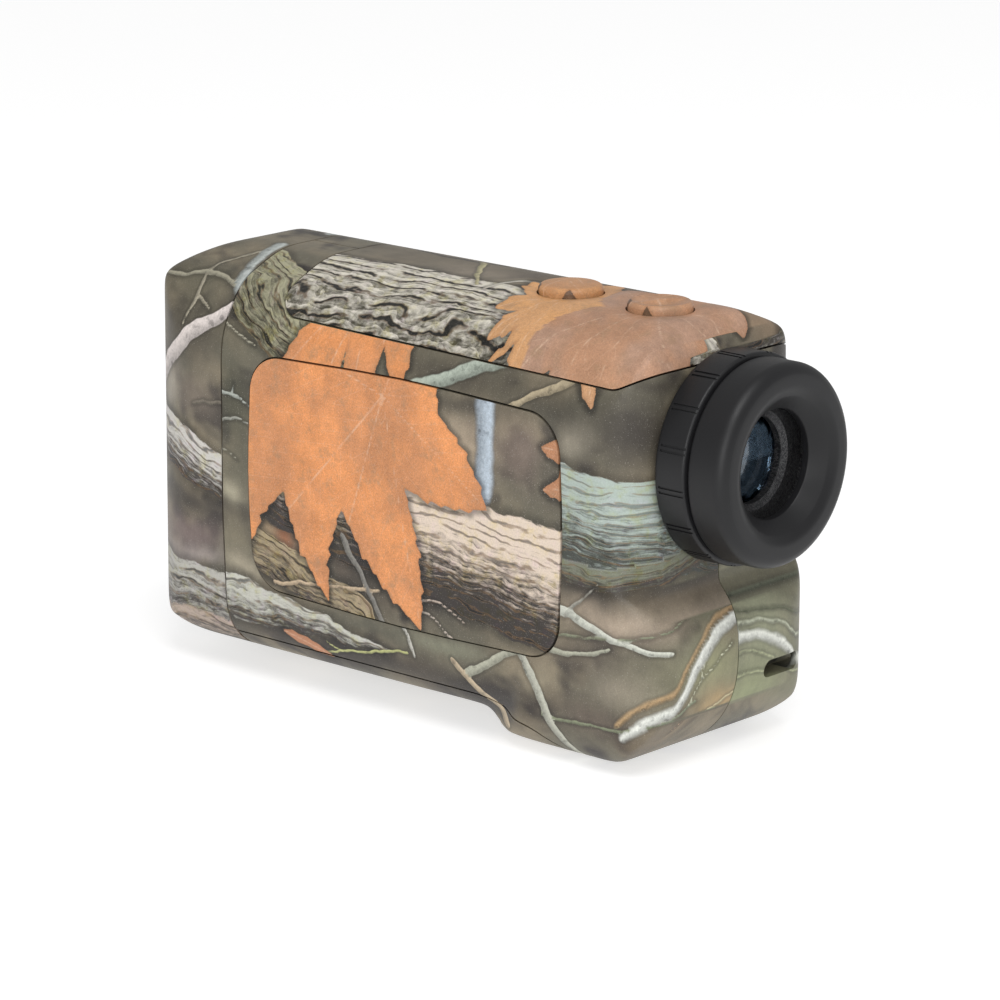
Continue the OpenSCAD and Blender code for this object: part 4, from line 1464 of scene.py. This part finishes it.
@dataclass(frozen=True)
class CellWrap:
    """Shrink wrap of a lithium cell, with a bare metal end and a plain contrasting band."""

    name: str
    wrap_from: float
    wrap_to: float

    def material(self) -> bpy.types.Material:
        """Build the wrap."""
        palette = Palette(self.name)
        at = palette.place()
        along = at.parts()[0]
        band = along.ramp(self.wrap_to - 7.0, self.wrap_to - 6.9)
        far_end = along.ramp(self.wrap_from + 0.5, self.wrap_from + 0.4)
        bare = along.ramp(self.wrap_to - 1.3, self.wrap_to - 1.2).above(far_end)
        creases = palette.noise(palette.scaled(at, (0.25, 1.0, 1.0)), 0.8, 5, 0.65)
        colour = palette.mix(band, (0.05, 0.14, 0.34), (0.55, 0.57, 0.60))
        colour = palette.mix(bare, palette.shade(colour, 0.85 + creases * 0.3), (0.72, 0.70, 0.66))
        return palette.set(
            Base_Color=colour,
            Metallic=bare * 0.95,
            Roughness=0.3 + creases * 0.18,
            Normal=palette.bump(creases, 0.05, 0.5),
        )


# ---------------------------------------------------------------- housing


@dataclass(frozen=True)
class LensOpening:
    """A lens opening in the front bezel: its height, radii, and where its socket and rim end."""

    z: float
    bore_r: float
    cell_r: float
    socket_x: float
    setback: float


@dataclass
class Housing:
    """The moulded housing: one soft outer form, cut into shells, bezel, cover, pads and door."""

    places: Stations
    skin: PrintedSkin
    cell: float = 0.45
    blend_rounds: int = 36
    wall: float = 2.0
    seam: float = 0.28
    parting: float = 0.1
    pad_proud: float = 0.2
    pad_seat: float = 1.0
    scoop_r: float = 8.8
    scoop_depth: float = 1.1
    lanyard_z: float = 12.1
    lanyard_h: float = 2.8
    lanyard_y: Point = (-15.0, -6.5)
    screws: tuple[Point, ...] = ((24.0, 31.9), (-28.5, 24.8), (10.5, 22.4))
    post_r: float = 2.3
    hub_r: float = 12.2
    collar_w: float = 1.2
    flare_depth: float = 1.8
    flare_w: float = 4.4
    hinge_back: float = 1.4
    hinge_rise: float = 1.05
    hinge_r: float = 1.05
    pin_hole_r: float = 0.51
    ear_y: float = 5.0
    ear_w: float = 2.4
    ear_gap: float = 0.2

    # -- outlines

    def _trunk(self) -> Solid:
        """The upper body."""
        p = self.places
        side = [
            (p.front_x, p.top_z, 13.7), (p.rear_x, p.top_z, 7.5), (p.rear_x, p.belly_z, 4),
            (-6, p.belly_z + 0.8, 45), (14, p.belly_z, 80), (p.front_x - 3, p.belly_z, 12),
            (p.front_x, 34, 40),
        ]
        half = [
            (7, p.top_z, 16), (15.8, p.top_z - 3.9, 7), (p.half_w, 54.5, 14), (p.half_w, 27, 60),
            (p.half_w - 1, p.belly_z, 10),
        ]
        plan = [(p.front_x, p.half_w, 13.5), (p.rear_x, p.half_w, 8.5)]
        return self._crossed("trunk", side, half, plan)

    def _lobe(self) -> Solid:
        """The grip lobe under the eyepiece."""
        p = self.places
        ledge_z, root_x = 28.4, -4.0
        side = [
            (root_x, p.belly_z + 1.5, 0), (root_x, ledge_z, 0), (p.lobe_rear_x, ledge_z, 10.2),
            (p.lobe_rear_x, 0, 15), (-24, 0, 30), (-8, p.belly_z + 0.4, 30),
        ]
        half = [(p.half_w, p.top_z, 0), (p.half_w, 27, 60), (p.half_w - 1, 0, 8.2)]
        plan = [(root_x, 8, 3), (-24, p.half_w, 12), (p.lobe_rear_x, p.half_w, 9.3)]
        return self._crossed("lobe", side, half, plan)

    @staticmethod
    def _crossed(name: str, side: Outline, half: Outline, plan: Outline) -> Solid:
        """Where three prisms cross.

        Args:
            name: name of the result.
            side: outline seen from the side.
            half: left half of the outline seen from behind.
            plan: left half of the outline seen from above.

        Returns:
            The crossed solid.
        """
        solid = Solid.prism(name, rounded(side), Axis.Y, -FAR, FAR)
        solid.within(Solid.prism("section", rounded(mirrored(half, True)), Axis.X, -FAR, FAR))
        return solid.within(Solid.prism("plan", rounded(mirrored(plan, False)), Axis.Z, -FAR, FAR))

    def _cover_outline(self) -> list[Point]:
        """Outline of the top cover, seen from the side."""
        p = self.places
        return rounded([
            (-80, 90, 0), (-80, 62, 0), (p.rear_x - 0.1, 59.8, 2), (-40, 57.4, 4),
            (p.cover_front_x, 58.5, 3.5), (p.cover_front_x, 90, 0),
        ])

    def _door_outline(self) -> list[Point]:
        """Outline of the battery door, seen from the side."""
        p = self.places
        front = p.seam_x - 0.4
        return rounded([
            (front, -9, 0), (front, 6.6, 0), (-14, 6.6, 14), (-25, 3.9, 8), (p.door_rear_x, 1.2, 1.5),
            (p.door_rear_x, -9, 0),
        ])

    @staticmethod
    def _pad_outline() -> list[Point]:
        """Outline of a grip pad, seen from the side."""
        return rounded([
            (-31, 15.9, 6), (0, 15, 300), (30.2, 15.9, 6), (31.1, 34, 90),
            (30.2, 52, 6), (0, 53, 300), (-31, 52, 6), (-32, 34, 90),
        ])

    def _hub(self) -> Solid:
        """The space that the fixed barrel of the eyepiece takes in the housing."""
        return Solid.rod("hub", Axis.X, (0, 0, self.places.axis_z), (-60, -36), self.hub_r)

    # -- building

    def build(self, film: bpy.types.Material, bark: bpy.types.Material, pad: bpy.types.Material) -> None:
        """Cut, print and hang every moulding.

        Args:
            film: finish of the shells, the bezel and the door.
            bark: finish of the top cover.
            pad: finish of the grip pads.
        """
        outer = self._trunk().join(self._lobe()).knit(self.cell).soften(self.blend_rounds)
        outer.obj.name = "outer_form"
        cavity = outer.copy("cavity").knit(1.2).offset(-self.wall).knit(0.9)
        core = outer.copy("core").knit(0.9).offset(-0.8)
        wall = outer.copy("wall").cut(cavity, keep=True)
        self._seal(core, cavity)
        self._pads(outer, pad)
        self._door(wall, film)
        self._cover(wall, bark)
        self._bezel(wall, core, film)
        self._shells(wall, core, film)
        for spare in (outer, cavity, core, wall):
            spare.scrap()

    def _print(self, solid: Solid, film: bpy.types.Material, drawing: Drawing, node: str, slot: str) -> None:
        """Store the print's measures on a moulding and finish it."""
        self.skin.dress(solid, drawing)
        solid.finish(film, "battery_door" if node == "battery_door" else "housing", node, slot)

    def _seal(self, core: Solid, cavity: Solid) -> None:
        """The rubber gasket that shows as a dark line behind the front seam."""
        x = self.places.seam_x
        band = core.copy("bezel_gasket").cut(cavity, keep=True)
        band.within(Solid.block("slab", (x - 0.13, -FAR, 7.2), (x + 0.13, FAR, FAR)))
        rubber = Moulded("gasket_rubber", (0.012, 0.012, 0.012), 0.7).material()
        band.finish(rubber, "housing", "bezel_seal", "black_rubber")

    def _pads(self, outer: Solid, pad: bpy.types.Material) -> None:
        """Two thin grip pads that stand just proud of the shells."""
        skin = outer.copy("pad_skin").offset(self.pad_proud)
        skin.within(Solid.prism("pad_cutter", self._pad_outline(), Axis.Y, -FAR, FAR))
        skin.cut(outer.copy("pad_back").knit(0.9).offset(0.05 - self.pad_seat))
        for name, side in (("left", 1), ("right", -1)):
            low_y, high_y = sorted((8 * side, FAR * side))
            half = Solid.block("half", (-FAR, low_y, -FAR), (FAR, high_y, FAR))
            drawing = PAD if side > 0 else PAD.moved(turned_about)
            self._print(skin.copy(f"{name}_grip_pad").within(half), pad, drawing, f"{name}_pad", "camo_pad")
        skin.scrap()

    def _door(self, wall: Solid, film: bpy.types.Material) -> None:
        """The battery door under the belly, notched for the hinge ears."""
        p = self.places
        door = wall.copy("belly_door")
        door.within(Solid.prism("door_cutter", self._door_outline(), Axis.Y, -FAR, FAR))
        notch_x, half = p.seam_x - self.hinge_back - 1.3, self.ear_w / 2 + self.ear_gap
        for y in (-self.ear_y, self.ear_y):
            door.cut(Solid.block("notch", (notch_x, y - half, -1), (p.seam_x + 2, y + half, 9)))
        door.join(Solid.block("tongue", (p.door_rear_x + 1.6, -5, 1.6), (p.door_rear_x + 2.8, 5, 7)))
        self._print(door, film, SHELL.moved(turned_about).beside(SHELL), "battery_door", "camo_shell")

    def _cover(self, wall: Solid, bark: bpy.types.Material) -> None:
        """The inset top cover, with a finger dish round each button."""
        p = self.places
        cover = wall.copy("upper_cover")
        cover.within(Solid.prism("cover_cutter", self._cover_outline(), Axis.Y, -FAR, FAR))
        for x in (p.power_x, p.mode_x):
            cover.cut(Solid.rod("hole", Axis.Z, (x, 0, 0), (50, 80), p.button_r + 0.22))
        cover.cut(self._hub())

        def dished(at: np.ndarray) -> np.ndarray:
            """Lower the top towards each button."""
            outside = at[:, 2] > p.top_z - 1.4
            for x in (p.power_x, p.mode_x):
                reach = np.hypot(at[:, 0] - x, at[:, 1]) / self.scoop_r
                fall = self.scoop_depth * np.clip(1 - reach**2, 0, 1) ** 1.3
                at[:, 2] -= np.where(outside, fall, 0)
            return at

        self._print(cover.move_points(dished), bark, COVER, "top_cover", "camo_bark")

    def _bezel(self, wall: Solid, core: Solid, film: bpy.types.Material) -> None:
        """The front bezel, with flared lens openings, collars behind them and the hinge ears."""
        p = self.places
        back_x = p.seam_x + SEAM_HALF
        bezel = wall.copy("nose_bezel").within(Solid.block("nose", (back_x, -FAR, -FAR), (FAR, FAR, FAR)))
        openings = (
            LensOpening(p.axis_z, bore_r=11.3, cell_r=12.42, socket_x=53.6, setback=0.0),
            LensOpening(p.emitter_z, bore_r=7.6, cell_r=8.62, socket_x=52.8, setback=1.2),
        )
        for lens in openings:
            axis = (0, 0, lens.z)
            collar = Solid.rod("collar", Axis.X, axis, (43, p.front_x), lens.cell_r + self.collar_w)
            bezel.join(collar.within(core, keep=True))
            bezel.cut(Solid.rod("socket", Axis.X, axis, (40, lens.socket_x), lens.cell_r))
            bezel.cut(Solid.rod("bore", Axis.X, axis, (50, FAR), lens.bore_r))
            start = p.front_x - lens.setback - self.flare_depth
            bezel.cut(Solid.rod("flare", Axis.X, axis, (start, start + 4), lens.bore_r, self.flare_w))
        hinge_x, hinge_z = p.seam_x - self.hinge_back, p.belly_z + self.hinge_rise
        root_z = hinge_z + self.hinge_r
        for y in (-self.ear_y, self.ear_y):
            low_y, high_y = y - self.ear_w / 2, y + self.ear_w / 2
            ear = Solid.rod("ear", Axis.Y, (hinge_x, 0, hinge_z), (low_y, high_y), self.hinge_r)
            ear.join(Solid.block("root", (hinge_x, low_y, p.belly_z), (back_x + 1, high_y, root_z)))
            bezel.join(ear)
        bezel.cut(Solid.rod("pin_hole", Axis.Y, (hinge_x, 0, hinge_z), (-10, 10), self.pin_hole_r))
        self._print(bezel, film, NOSE.moved(carried_over).beside(NOSE), "front_bezel", "camo_shell")

    def _shells(self, wall: Solid, core: Solid, film: bpy.types.Material) -> None:
        """The left and right shells, with the pads' seats, the eyepiece's bore and the lanyard eye."""
        p = self.places
        shells = wall.copy("shells")
        shells.within(Solid.block("rear", (-FAR, -FAR, -FAR), (p.seam_x - SEAM_HALF, FAR, FAR)))
        shells.cut(Solid.prism("cover_space", grown(self._cover_outline(), self.seam), Axis.Y, -FAR, FAR))
        shells.cut(Solid.prism("door_space", grown(self._door_outline(), self.seam), Axis.Y, -FAR, FAR))
        seat = Solid.prism("pad_space", grown(self._pad_outline(), self.seam), Axis.Y, -FAR, FAR)
        shells.cut(seat.cut(core.copy("seat_core").offset(0.8 - self.pad_seat)))
        shells.cut(self._hub())
        for name, side in (("left", 1), ("right", -1)):
            ends = sorted((side * self.parting, side * FAR))
            shell = shells.copy(f"{name}_half_shell")
            shell.within(Solid.block("half", (-FAR, ends[0], -FAR), (FAR, ends[1], FAR)))
            for x, z in self.screws:
                reach = tuple(sorted((side * self.parting, side * 19.0)))
                shell.join(Solid.rod("post", Axis.Y, (x, 0, z), reach, self.post_r))
            if side < 0:
                self._lanyard_eye(shell, core)
            far_side = SHELL.moved(turned_about).beside(FAR_CORNER.moved(carried_over))
            self._print(shell, film, SHELL if side > 0 else far_side, f"{name}_shell", "camo_shell")
        shells.scrap()

    def _lanyard_eye(self, shell: Solid, core: Solid) -> None:
        """A solid corner with a slot for the lanyard, from the rear face to the side."""
        p = self.places
        low_y, high_y = self.lanyard_y
        half = self.lanyard_h / 2
        z, rear = self.lanyard_z, p.lobe_rear_x
        corner = Solid.block("corner", (rear, -p.half_w, z - 3.2), (rear + 7.5, -4.5, z + 3.2))
        shell.join(corner.within(core, keep=True))
        slot = rounded([
            (low_y, z - half, half - 0.01), (high_y, z - half, half - 0.01),
            (high_y, z + half, half - 0.01), (low_y, z + half, half - 0.01),
        ])
        shell.cut(Solid.prism("mouth", slot, Axis.X, rear - 2, rear + 4.5))
        way_out = (rear + 2, -p.half_w - 1, z - half), (rear + 4.5, high_y - half, z + half)
        shell.cut(Solid.block("way_out", *way_out))


# ---------------------------------------------------------------- buttons and eyepiece


@dataclass
class Buttons:
    """The power button, gently crowned, and the mode button, dished each side of a ridge."""

    places: Stations
    skin: PrintedSkin
    rim_r: float = 0.9
    dish: float = 0.75

    def _blank(self, name: str, x: float) -> Solid:
        """Turn a crowned button with the flange that keeps it in."""
        p = self.places
        flange_top = p.flange_z + FLANGE_H
        edge = rounded([
            (p.crown_z - 2.5, p.button_r, 0), (p.crown_z - 0.3, p.button_r, self.rim_r), (p.crown_z, 0.0, 0),
        ])[1:-1]
        crown = [(p.crown_z - 0.3 * r * r / p.button_r**2, r) for r in np.linspace(edge[-1][1], 0, 12)[1:]]
        profile = [
            (p.flange_z, 0.0), (p.flange_z, p.button_r + FLANGE_W), (flange_top, p.button_r + FLANGE_W),
            (flange_top, p.button_r), *edge, *crown,
        ]
        return Solid.turned(name, profile, Axis.Z, (x, 0, 0), steps=96)

    def build(self, material: bpy.types.Material) -> None:
        """Make and hang both buttons."""
        p = self.places
        power = self._blank("power_cap", p.power_x)
        self.skin.dress(power, CAPS)
        power.finish(material, "power_button", "power_button", "camo_button", 40)

        def dished(at: np.ndarray) -> np.ndarray:
            """Hollow the crown on each side of its ridge."""
            reach = np.hypot(at[:, 0] - p.mode_x, at[:, 1]) / (p.button_r - 0.5)
            ridge = np.exp(-((at[:, 0] - p.mode_x - 0.3 * at[:, 1]) ** 2) / 0.5)
            hollow = self.dish * np.clip(1 - reach**3, 0, 1) * (1 - 0.8 * ridge)
            at[:, 2] -= np.where(at[:, 2] > p.crown_z - 0.8, hollow, 0)
            return at

        mode = self._blank("mode_cap", p.mode_x).move_points(dished)
        self.skin.dress(mode, CAPS)
        mode.finish(material, "mode_button", "mode_button", "camo_button", 40)


@dataclass
class Eyepiece:
    """The turning diopter ring and the rubber eyecup."""

    places: Stations
    bore_r: float = 12.05
    sleeve_r: float = 13.0
    throat_r: float = 8.1
    mark_count: int = 16
    mark_phase: float = 13.9
    mark_w: float = 0.36
    mark_pitch: float = 0.8
    mark_depth: float = 0.22

    def _ring(self) -> Solid:
        """Turn the ring, cut its paired grip marks and break its edges."""
        p = self.places
        front_x = p.rear_x - RING_GAP
        profile = rounded([
            (front_x, p.ring_r, 0.6), (front_x, self.bore_r, 0), (p.sleeve_rear_x, self.bore_r, 0),
            (p.sleeve_rear_x, self.sleeve_r, 0), (p.ring_rear_x, self.sleeve_r, 0),
            (p.ring_rear_x, p.ring_r, 0.5),
        ], 15)
        ring = Solid.turned("focus_ring", profile, Axis.X, (0, 0, p.axis_z), steps=192)
        for index in range(self.mark_count):
            turn = math.radians(index * 360 / self.mark_count + self.mark_phase)
            for side in (-1, 1):
                ring.cut(self._mark(turn, side * self.mark_pitch / 2))
        return ring.bevel(0.07, 1, 50)

    def _mark(self, turn: float, off: float) -> Solid:
        """One fine groove along the ring, turned to its place."""
        p = self.places
        low = (p.ring_rear_x - 1, off - self.mark_w / 2, p.ring_r - self.mark_depth)
        high = (p.rear_x - 1.2, off + self.mark_w / 2, p.ring_r + 2)
        cos, sin = math.cos(turn), math.sin(turn)

        def turned(at: np.ndarray) -> np.ndarray:
            """Turn about the optical axis."""
            y, z = at[:, 1] * cos - at[:, 2] * sin, at[:, 1] * sin + at[:, 2] * cos
            return np.stack([at[:, 0], y, z + p.axis_z], axis=1)

        return Solid.block("mark", low, high).move_points(turned)

    def _cup(self) -> Solid:
        """Turn the eyecup: a smooth barrel, a slightly crowned face and a flared throat."""
        p = self.places
        inner_x, rear, seat_r = p.sleeve_rear_x - 0.2, p.cup_rear_x, self.sleeve_r + 0.02
        profile = rounded([
            (p.cup_front_x, p.cup_r, 0.5), (p.cup_front_x, seat_r, 0), (inner_x, seat_r, 0),
            (inner_x, self.throat_r, 0.3), (inner_x - 1.2, self.throat_r, 0.4), (rear + 0.7, 10.2, 1.0),
            (rear, 11.4, 2.0), (rear + 0.05, 13.2, 4.0), (rear + 0.4, p.cup_r, 2.0),
        ], 8)
        return Solid.turned("rubber_eyecup", profile, Axis.X, (0, 0, p.axis_z), steps=192)

    def build(self, ring: bpy.types.Material, cup: bpy.types.Material) -> None:
        """Make and hang the ring and the cup."""
        self._ring().finish(ring, "diopter", "diopter_ring", "black_plastic", 35)
        self._cup().finish(cup, "diopter", "eyecup", "black_rubber", 35)


@dataclass
class Inside:
    """The optics, boards, battery and fasteners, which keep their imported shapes."""

    nodes: dict[str, bpy.types.Object]
    places: Stations

    def dress(self) -> None:
        """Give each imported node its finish."""
        p = self.places
        viewing, sending = (0.0, p.axis_z), (0.0, p.emitter_z)
        battery_low, battery_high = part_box("battery")
        anodised = Machined("black_anodised", (0.02, 0.02, 0.022), viewing, 0.38, 0.6, 0.03).material()
        sender = Machined("sender_anodised", (0.02, 0.02, 0.022), sending, 0.38, 0.6, 0.03).material()
        finishes: dict[bpy.types.Material, tuple[str, ...]] = {
            anodised: (
                "eyepiece_base", "ocular_cell", "ocular_retainer", "objective_cell", "objective_retainer",
            ),
            sender: ("emitter_tube", "emitter_retainer"),
            CoatedGlass("coated_glass").material(): ("eye_lens", "field_lens", "objective_lens"),
            CoatedGlass("emitter_glass", (0.42, 0.10, 0.12), (0.9, 0.35, 0.6), 0.85).material(): (
                "emitter_lens",
            ),
            CoatedGlass("prism_glass", (0.90, 0.95, 0.93), (0.8, 0.9, 0.85)).material(): (
                "half_penta_prism", "roof_prism", "reticle_display",
            ),
            CircuitBoard("circuit_board").material(): (
                "laser_board", "detector_board", "main_board", "button_board",
            ),
            Moulded("component_black", (0.018, 0.018, 0.02), 0.42, 0.2, 0.01).material(): (
                "board_chips", "tact_switches",
            ),
            Machined("gilt_metal", (0.83, 0.60, 0.27), sending, 0.26).material(): (
                "laser_diode", "detector_can",
            ),
            Machined("bright_steel", (0.62, 0.61, 0.59), (0.0, 0.0), 0.28).material(): (
                "door_hinge_pin", "guide_pin", "housing_screws", "cover_screws",
            ),
            Machined("spring_contact", (0.70, 0.68, 0.62), (0.0, 13.7), 0.24).material(): (
                "positive_contact", "negative_contact",
            ),
            Moulded("holder_plastic", (0.03, 0.03, 0.032), 0.48, 0.3, 0.02).material(): (
                "prism_holder", "battery_cradle",
            ),
            Moulded("seal_rubber", (0.012, 0.012, 0.012), 0.6, 0.25, 0.01).material(): ("eyepiece_seal",),
            Moulded("clear_silicone", (0.62, 0.60, 0.54), 0.45, 0.3, 0.01, sheen=0.2).material(): (
                "power_spring", "mode_spring",
            ),
            Moulded("flex_film", (0.42, 0.20, 0.035), 0.3, 0.8, 0.01, coat=0.6).material(): ("flex_cable",),
            CellWrap("battery_wrap", battery_low.x / MM, battery_high.x / MM).material(): ("battery",),
        }
        for material, names in finishes.items():
            for name in names:
                mesh = self.nodes[name].data
                if not mesh.materials:
                    mesh.materials.append(material)
                for index in range(len(mesh.materials)):
                    self.nodes[name].material_slots[index].material = material
                log.info("%s: %s", name, material.name)


# ---------------------------------------------------------------- studio


@dataclass
class Studio:
    """A plain pale floor, soft light and the camera."""

    aim: Corner = (-21.81, 22.41, 38.83)
    azimuth: float = 48.512
    elevation: float = 14.568
    roll: float = 0.331
    distance: float = 654.3
    lens: float = 163.05

    def _camera(self) -> None:
        """Stand the camera behind the left shoulder of the rangefinder."""
        turn, rise, tilt = (math.radians(a) for a in (self.azimuth, self.elevation, self.roll))
        back = Vector((-math.cos(turn) * math.cos(rise), math.sin(turn) * math.cos(rise), math.sin(rise)))
        right = (-back).cross(Vector((0, 0, 1))).normalized()
        up = right.cross(-back)
        across = math.cos(tilt) * right + math.sin(tilt) * up
        upward = math.cos(tilt) * up - math.sin(tilt) * right
        pose = Matrix((across, upward, back)).transposed().to_4x4()
        pose.translation = (Vector(self.aim) + back * self.distance) * MM
        bpy.ops.object.camera_add()
        camera = bpy.context.object
        camera.matrix_world = pose
        camera.data.lens = self.lens
        camera.data.sensor_width = 36.0
        bpy.context.scene.camera = camera

    @staticmethod
    def _floor() -> None:
        """A wide matt floor, as wide as the light needs."""
        bpy.ops.mesh.primitive_plane_add(size=6.0, location=(0, 0, 0))
        floor = bpy.context.object
        floor.name = "studio_floor"
        palette = Palette("studio_paper")
        glow = {"Emission_Color": (1.0, 1.0, 1.0), "Emission_Strength": 0.6}
        floor.data.materials.append(palette.set(Base_Color=(0.6, 0.6, 0.6), Roughness=0.9, **glow))

    @staticmethod
    def _light(place: Corner, size: float, power: float) -> None:
        """A square soft light aimed at the rangefinder."""
        bpy.ops.object.light_add(type="AREA", location=place)
        lamp = bpy.context.object
        lamp.rotation_euler = (-Vector(place)).to_track_quat("-Z", "Y").to_euler()
        lamp.data.size = size
        lamp.data.energy = power

    def build(self) -> None:
        """Set up the whole studio."""
        self._camera()
        self._floor()
        self._light((-0.35, 0.25, 0.75), 0.4, 3.2)
        self._light((-0.7, 0.9, 0.35), 0.5, 4.4)
        world = bpy.data.worlds.new("studio_world")
        world.use_nodes = True
        world.node_tree.nodes["Background"].inputs[0].default_value = (1.0, 1.0, 1.0, 1.0)
        world.node_tree.nodes["Background"].inputs[1].default_value = 0.5
        bpy.context.scene.world = world
        bpy.context.scene.view_settings.view_transform = "Standard"


# ---------------------------------------------------------------- main


def main() -> None:
    """Load the frame, build each sub-assembly and set up the studio."""
    logging.basicConfig(level=logging.INFO, format="%(message)s")
    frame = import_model()
    places = Stations.read()
    skin = PrintedSkin(places)
    film = WoodlandFilm("camo_shell").material()
    bark = WoodlandFilm("camo_bark", 0.8).material()
    pad = WoodlandFilm("camo_pad", 1.3, 0.52).material()
    button = WoodlandFilm("camo_button", 0.8, 0.4).material()
    Inside(frame["nodes"], places).dress()
    Housing(places, skin).build(film, bark, pad)
    Buttons(places, skin).build(button)
    ring = Moulded("ring_plastic", (0.011, 0.011, 0.012), 0.40, 0.22, 0.02, gloss=0.3).material()
    cup = Moulded("cup_rubber", (0.010, 0.010, 0.011), 0.44, 0.3, 0.012, gloss=0.3).material()
    Eyepiece(places).build(ring, cup)
    Studio().build()


if __name__ == "__main__":
    main()
